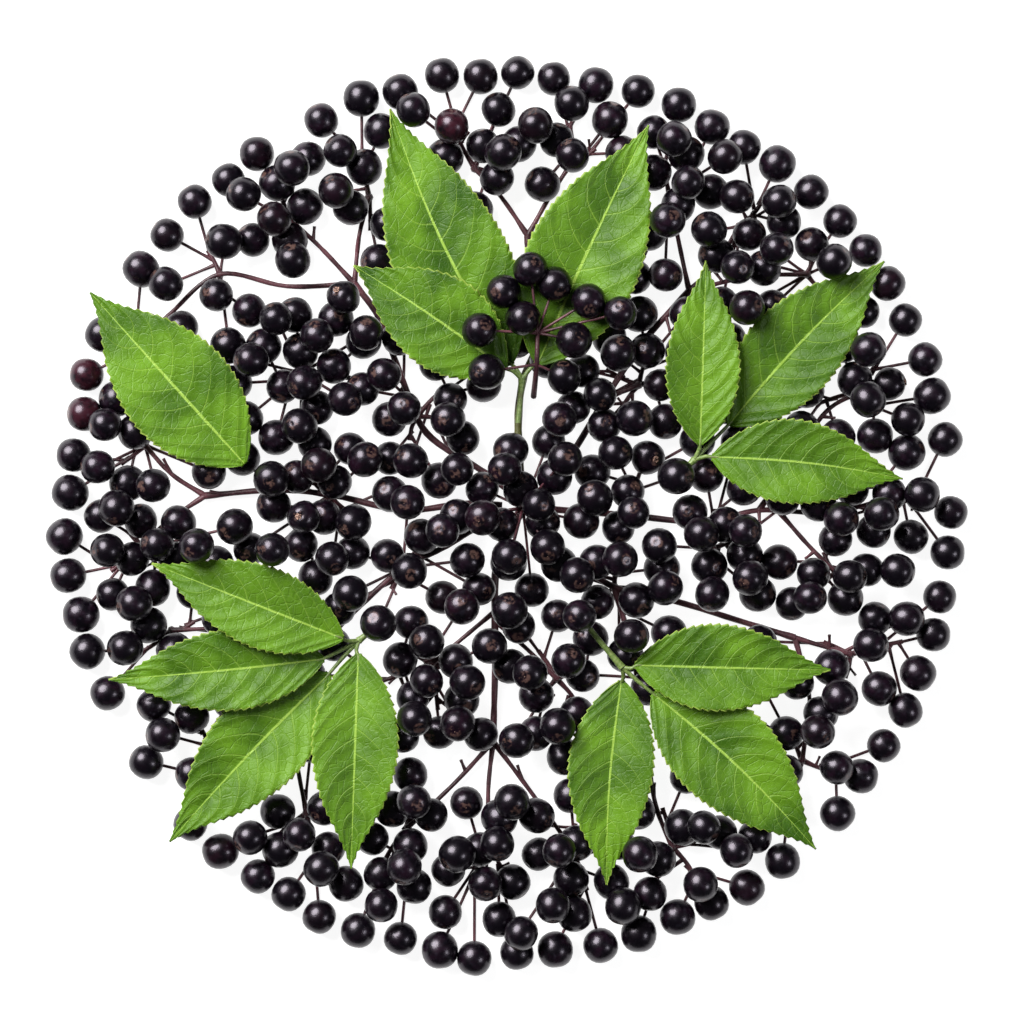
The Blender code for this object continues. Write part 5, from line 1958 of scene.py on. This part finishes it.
@dataclass
class ElderberryCluster:
    """The whole bunch."""

    plan: BunchPlan = field(default_factory=BunchPlan)
    looks_seed: int = 5
    red_berries: tuple[Place, ...] = ((-86.5, 28.0), (-89.0, 20.5), (-11.0, 83.0))
    shrivelled_berries: tuple[Place, ...] = (
        (-32.0, 49.0), (-32.5, 45.0), (78.0, 26.0), (31.0, 12.0), (-44.0, 2.0), (82.0, 30.0),
    )

    def mark_skins(self, rng: random.Random) -> None:
        """Settles which berries are red, shrivelled or small-crowned."""
        berries = [b for group in self.plan.sprays.values() for b in group] + self.plan.raised
        for berry in berries:
            berry.skin = Skin.SMALL_CROWN if rng.random() < 0.45 else Skin.PLUMP
            berry.redness = max(0.0, rng.random() - 0.90) * 1.5
        for place in self.shrivelled_berries:
            self.nearest(berries, place).skin = Skin.SHRIVELLED
        for place in self.red_berries:
            self.nearest(berries, place).redness = 1.0

    @staticmethod
    def nearest(berries: list[Berry], place: Place) -> Berry:
        """The berry nearest a place, the higher ones first."""
        return min(berries, key=lambda b: math.dist((b.x, b.y), place) - (2.0 if b.upper else 0.0))

    def sprays(self) -> Iterator[Spray]:
        """Yields every spray with its own source of chance."""
        for number, (name, berries) in enumerate(self.plan.sprays.items()):
            rng = random.Random(self.looks_seed * 100 + number)
            kind = CentreSpray if name == CENTRE else Spray
            yield kind(name, berries, self.plan.twigs[name], rng)
        rng = random.Random(self.looks_seed)
        yield RaisedSpray(RAISED_SPRAY, self.plan.raised, [], rng, height=self.plan.raised_height)

    def build(self) -> None:
        """Makes every piece."""
        rng = random.Random(self.looks_seed)
        self.mark_skins(rng)
        finishes = {
            "skin": BerrySkinFinish().build(),
            "crown": CrownFinish().build(),
            "bark": BarkFinish().build(),
            "main": BarkFinish(name="main_stem_bark", olive_from=0.002, olive_to=0.052).build(),
            "green": GreenStalkFinish().build(),
            "blade": BladeFinish().build(),
        }
        limb_work, berry_work = LimbWork(), BerryWork()
        for name in STEMS:
            Stem(name, rng).build(limb_work, finishes["main" if name == "main_stem" else "bark"])
        for spray in self.sprays():
            spray.build(berry_work, limb_work, finishes)
        for name, (path, leaves) in self.plan.leaf_stalks.items():
            LeafStalk(name, path, leaves).build(limb_work, finishes["green"])
        for leaf in self.plan.leaflets:
            Blade(leaf, rng).build(finishes["blade"])
        berry_work.put_away()


def main() -> None:
    """Builds the studio and the bunch."""
    logging.basicConfig(level=logging.INFO, format="%(name)s: %(message)s")
    Studio().build()
    ElderberryCluster().build()


if __name__ == "__main__":
    main()
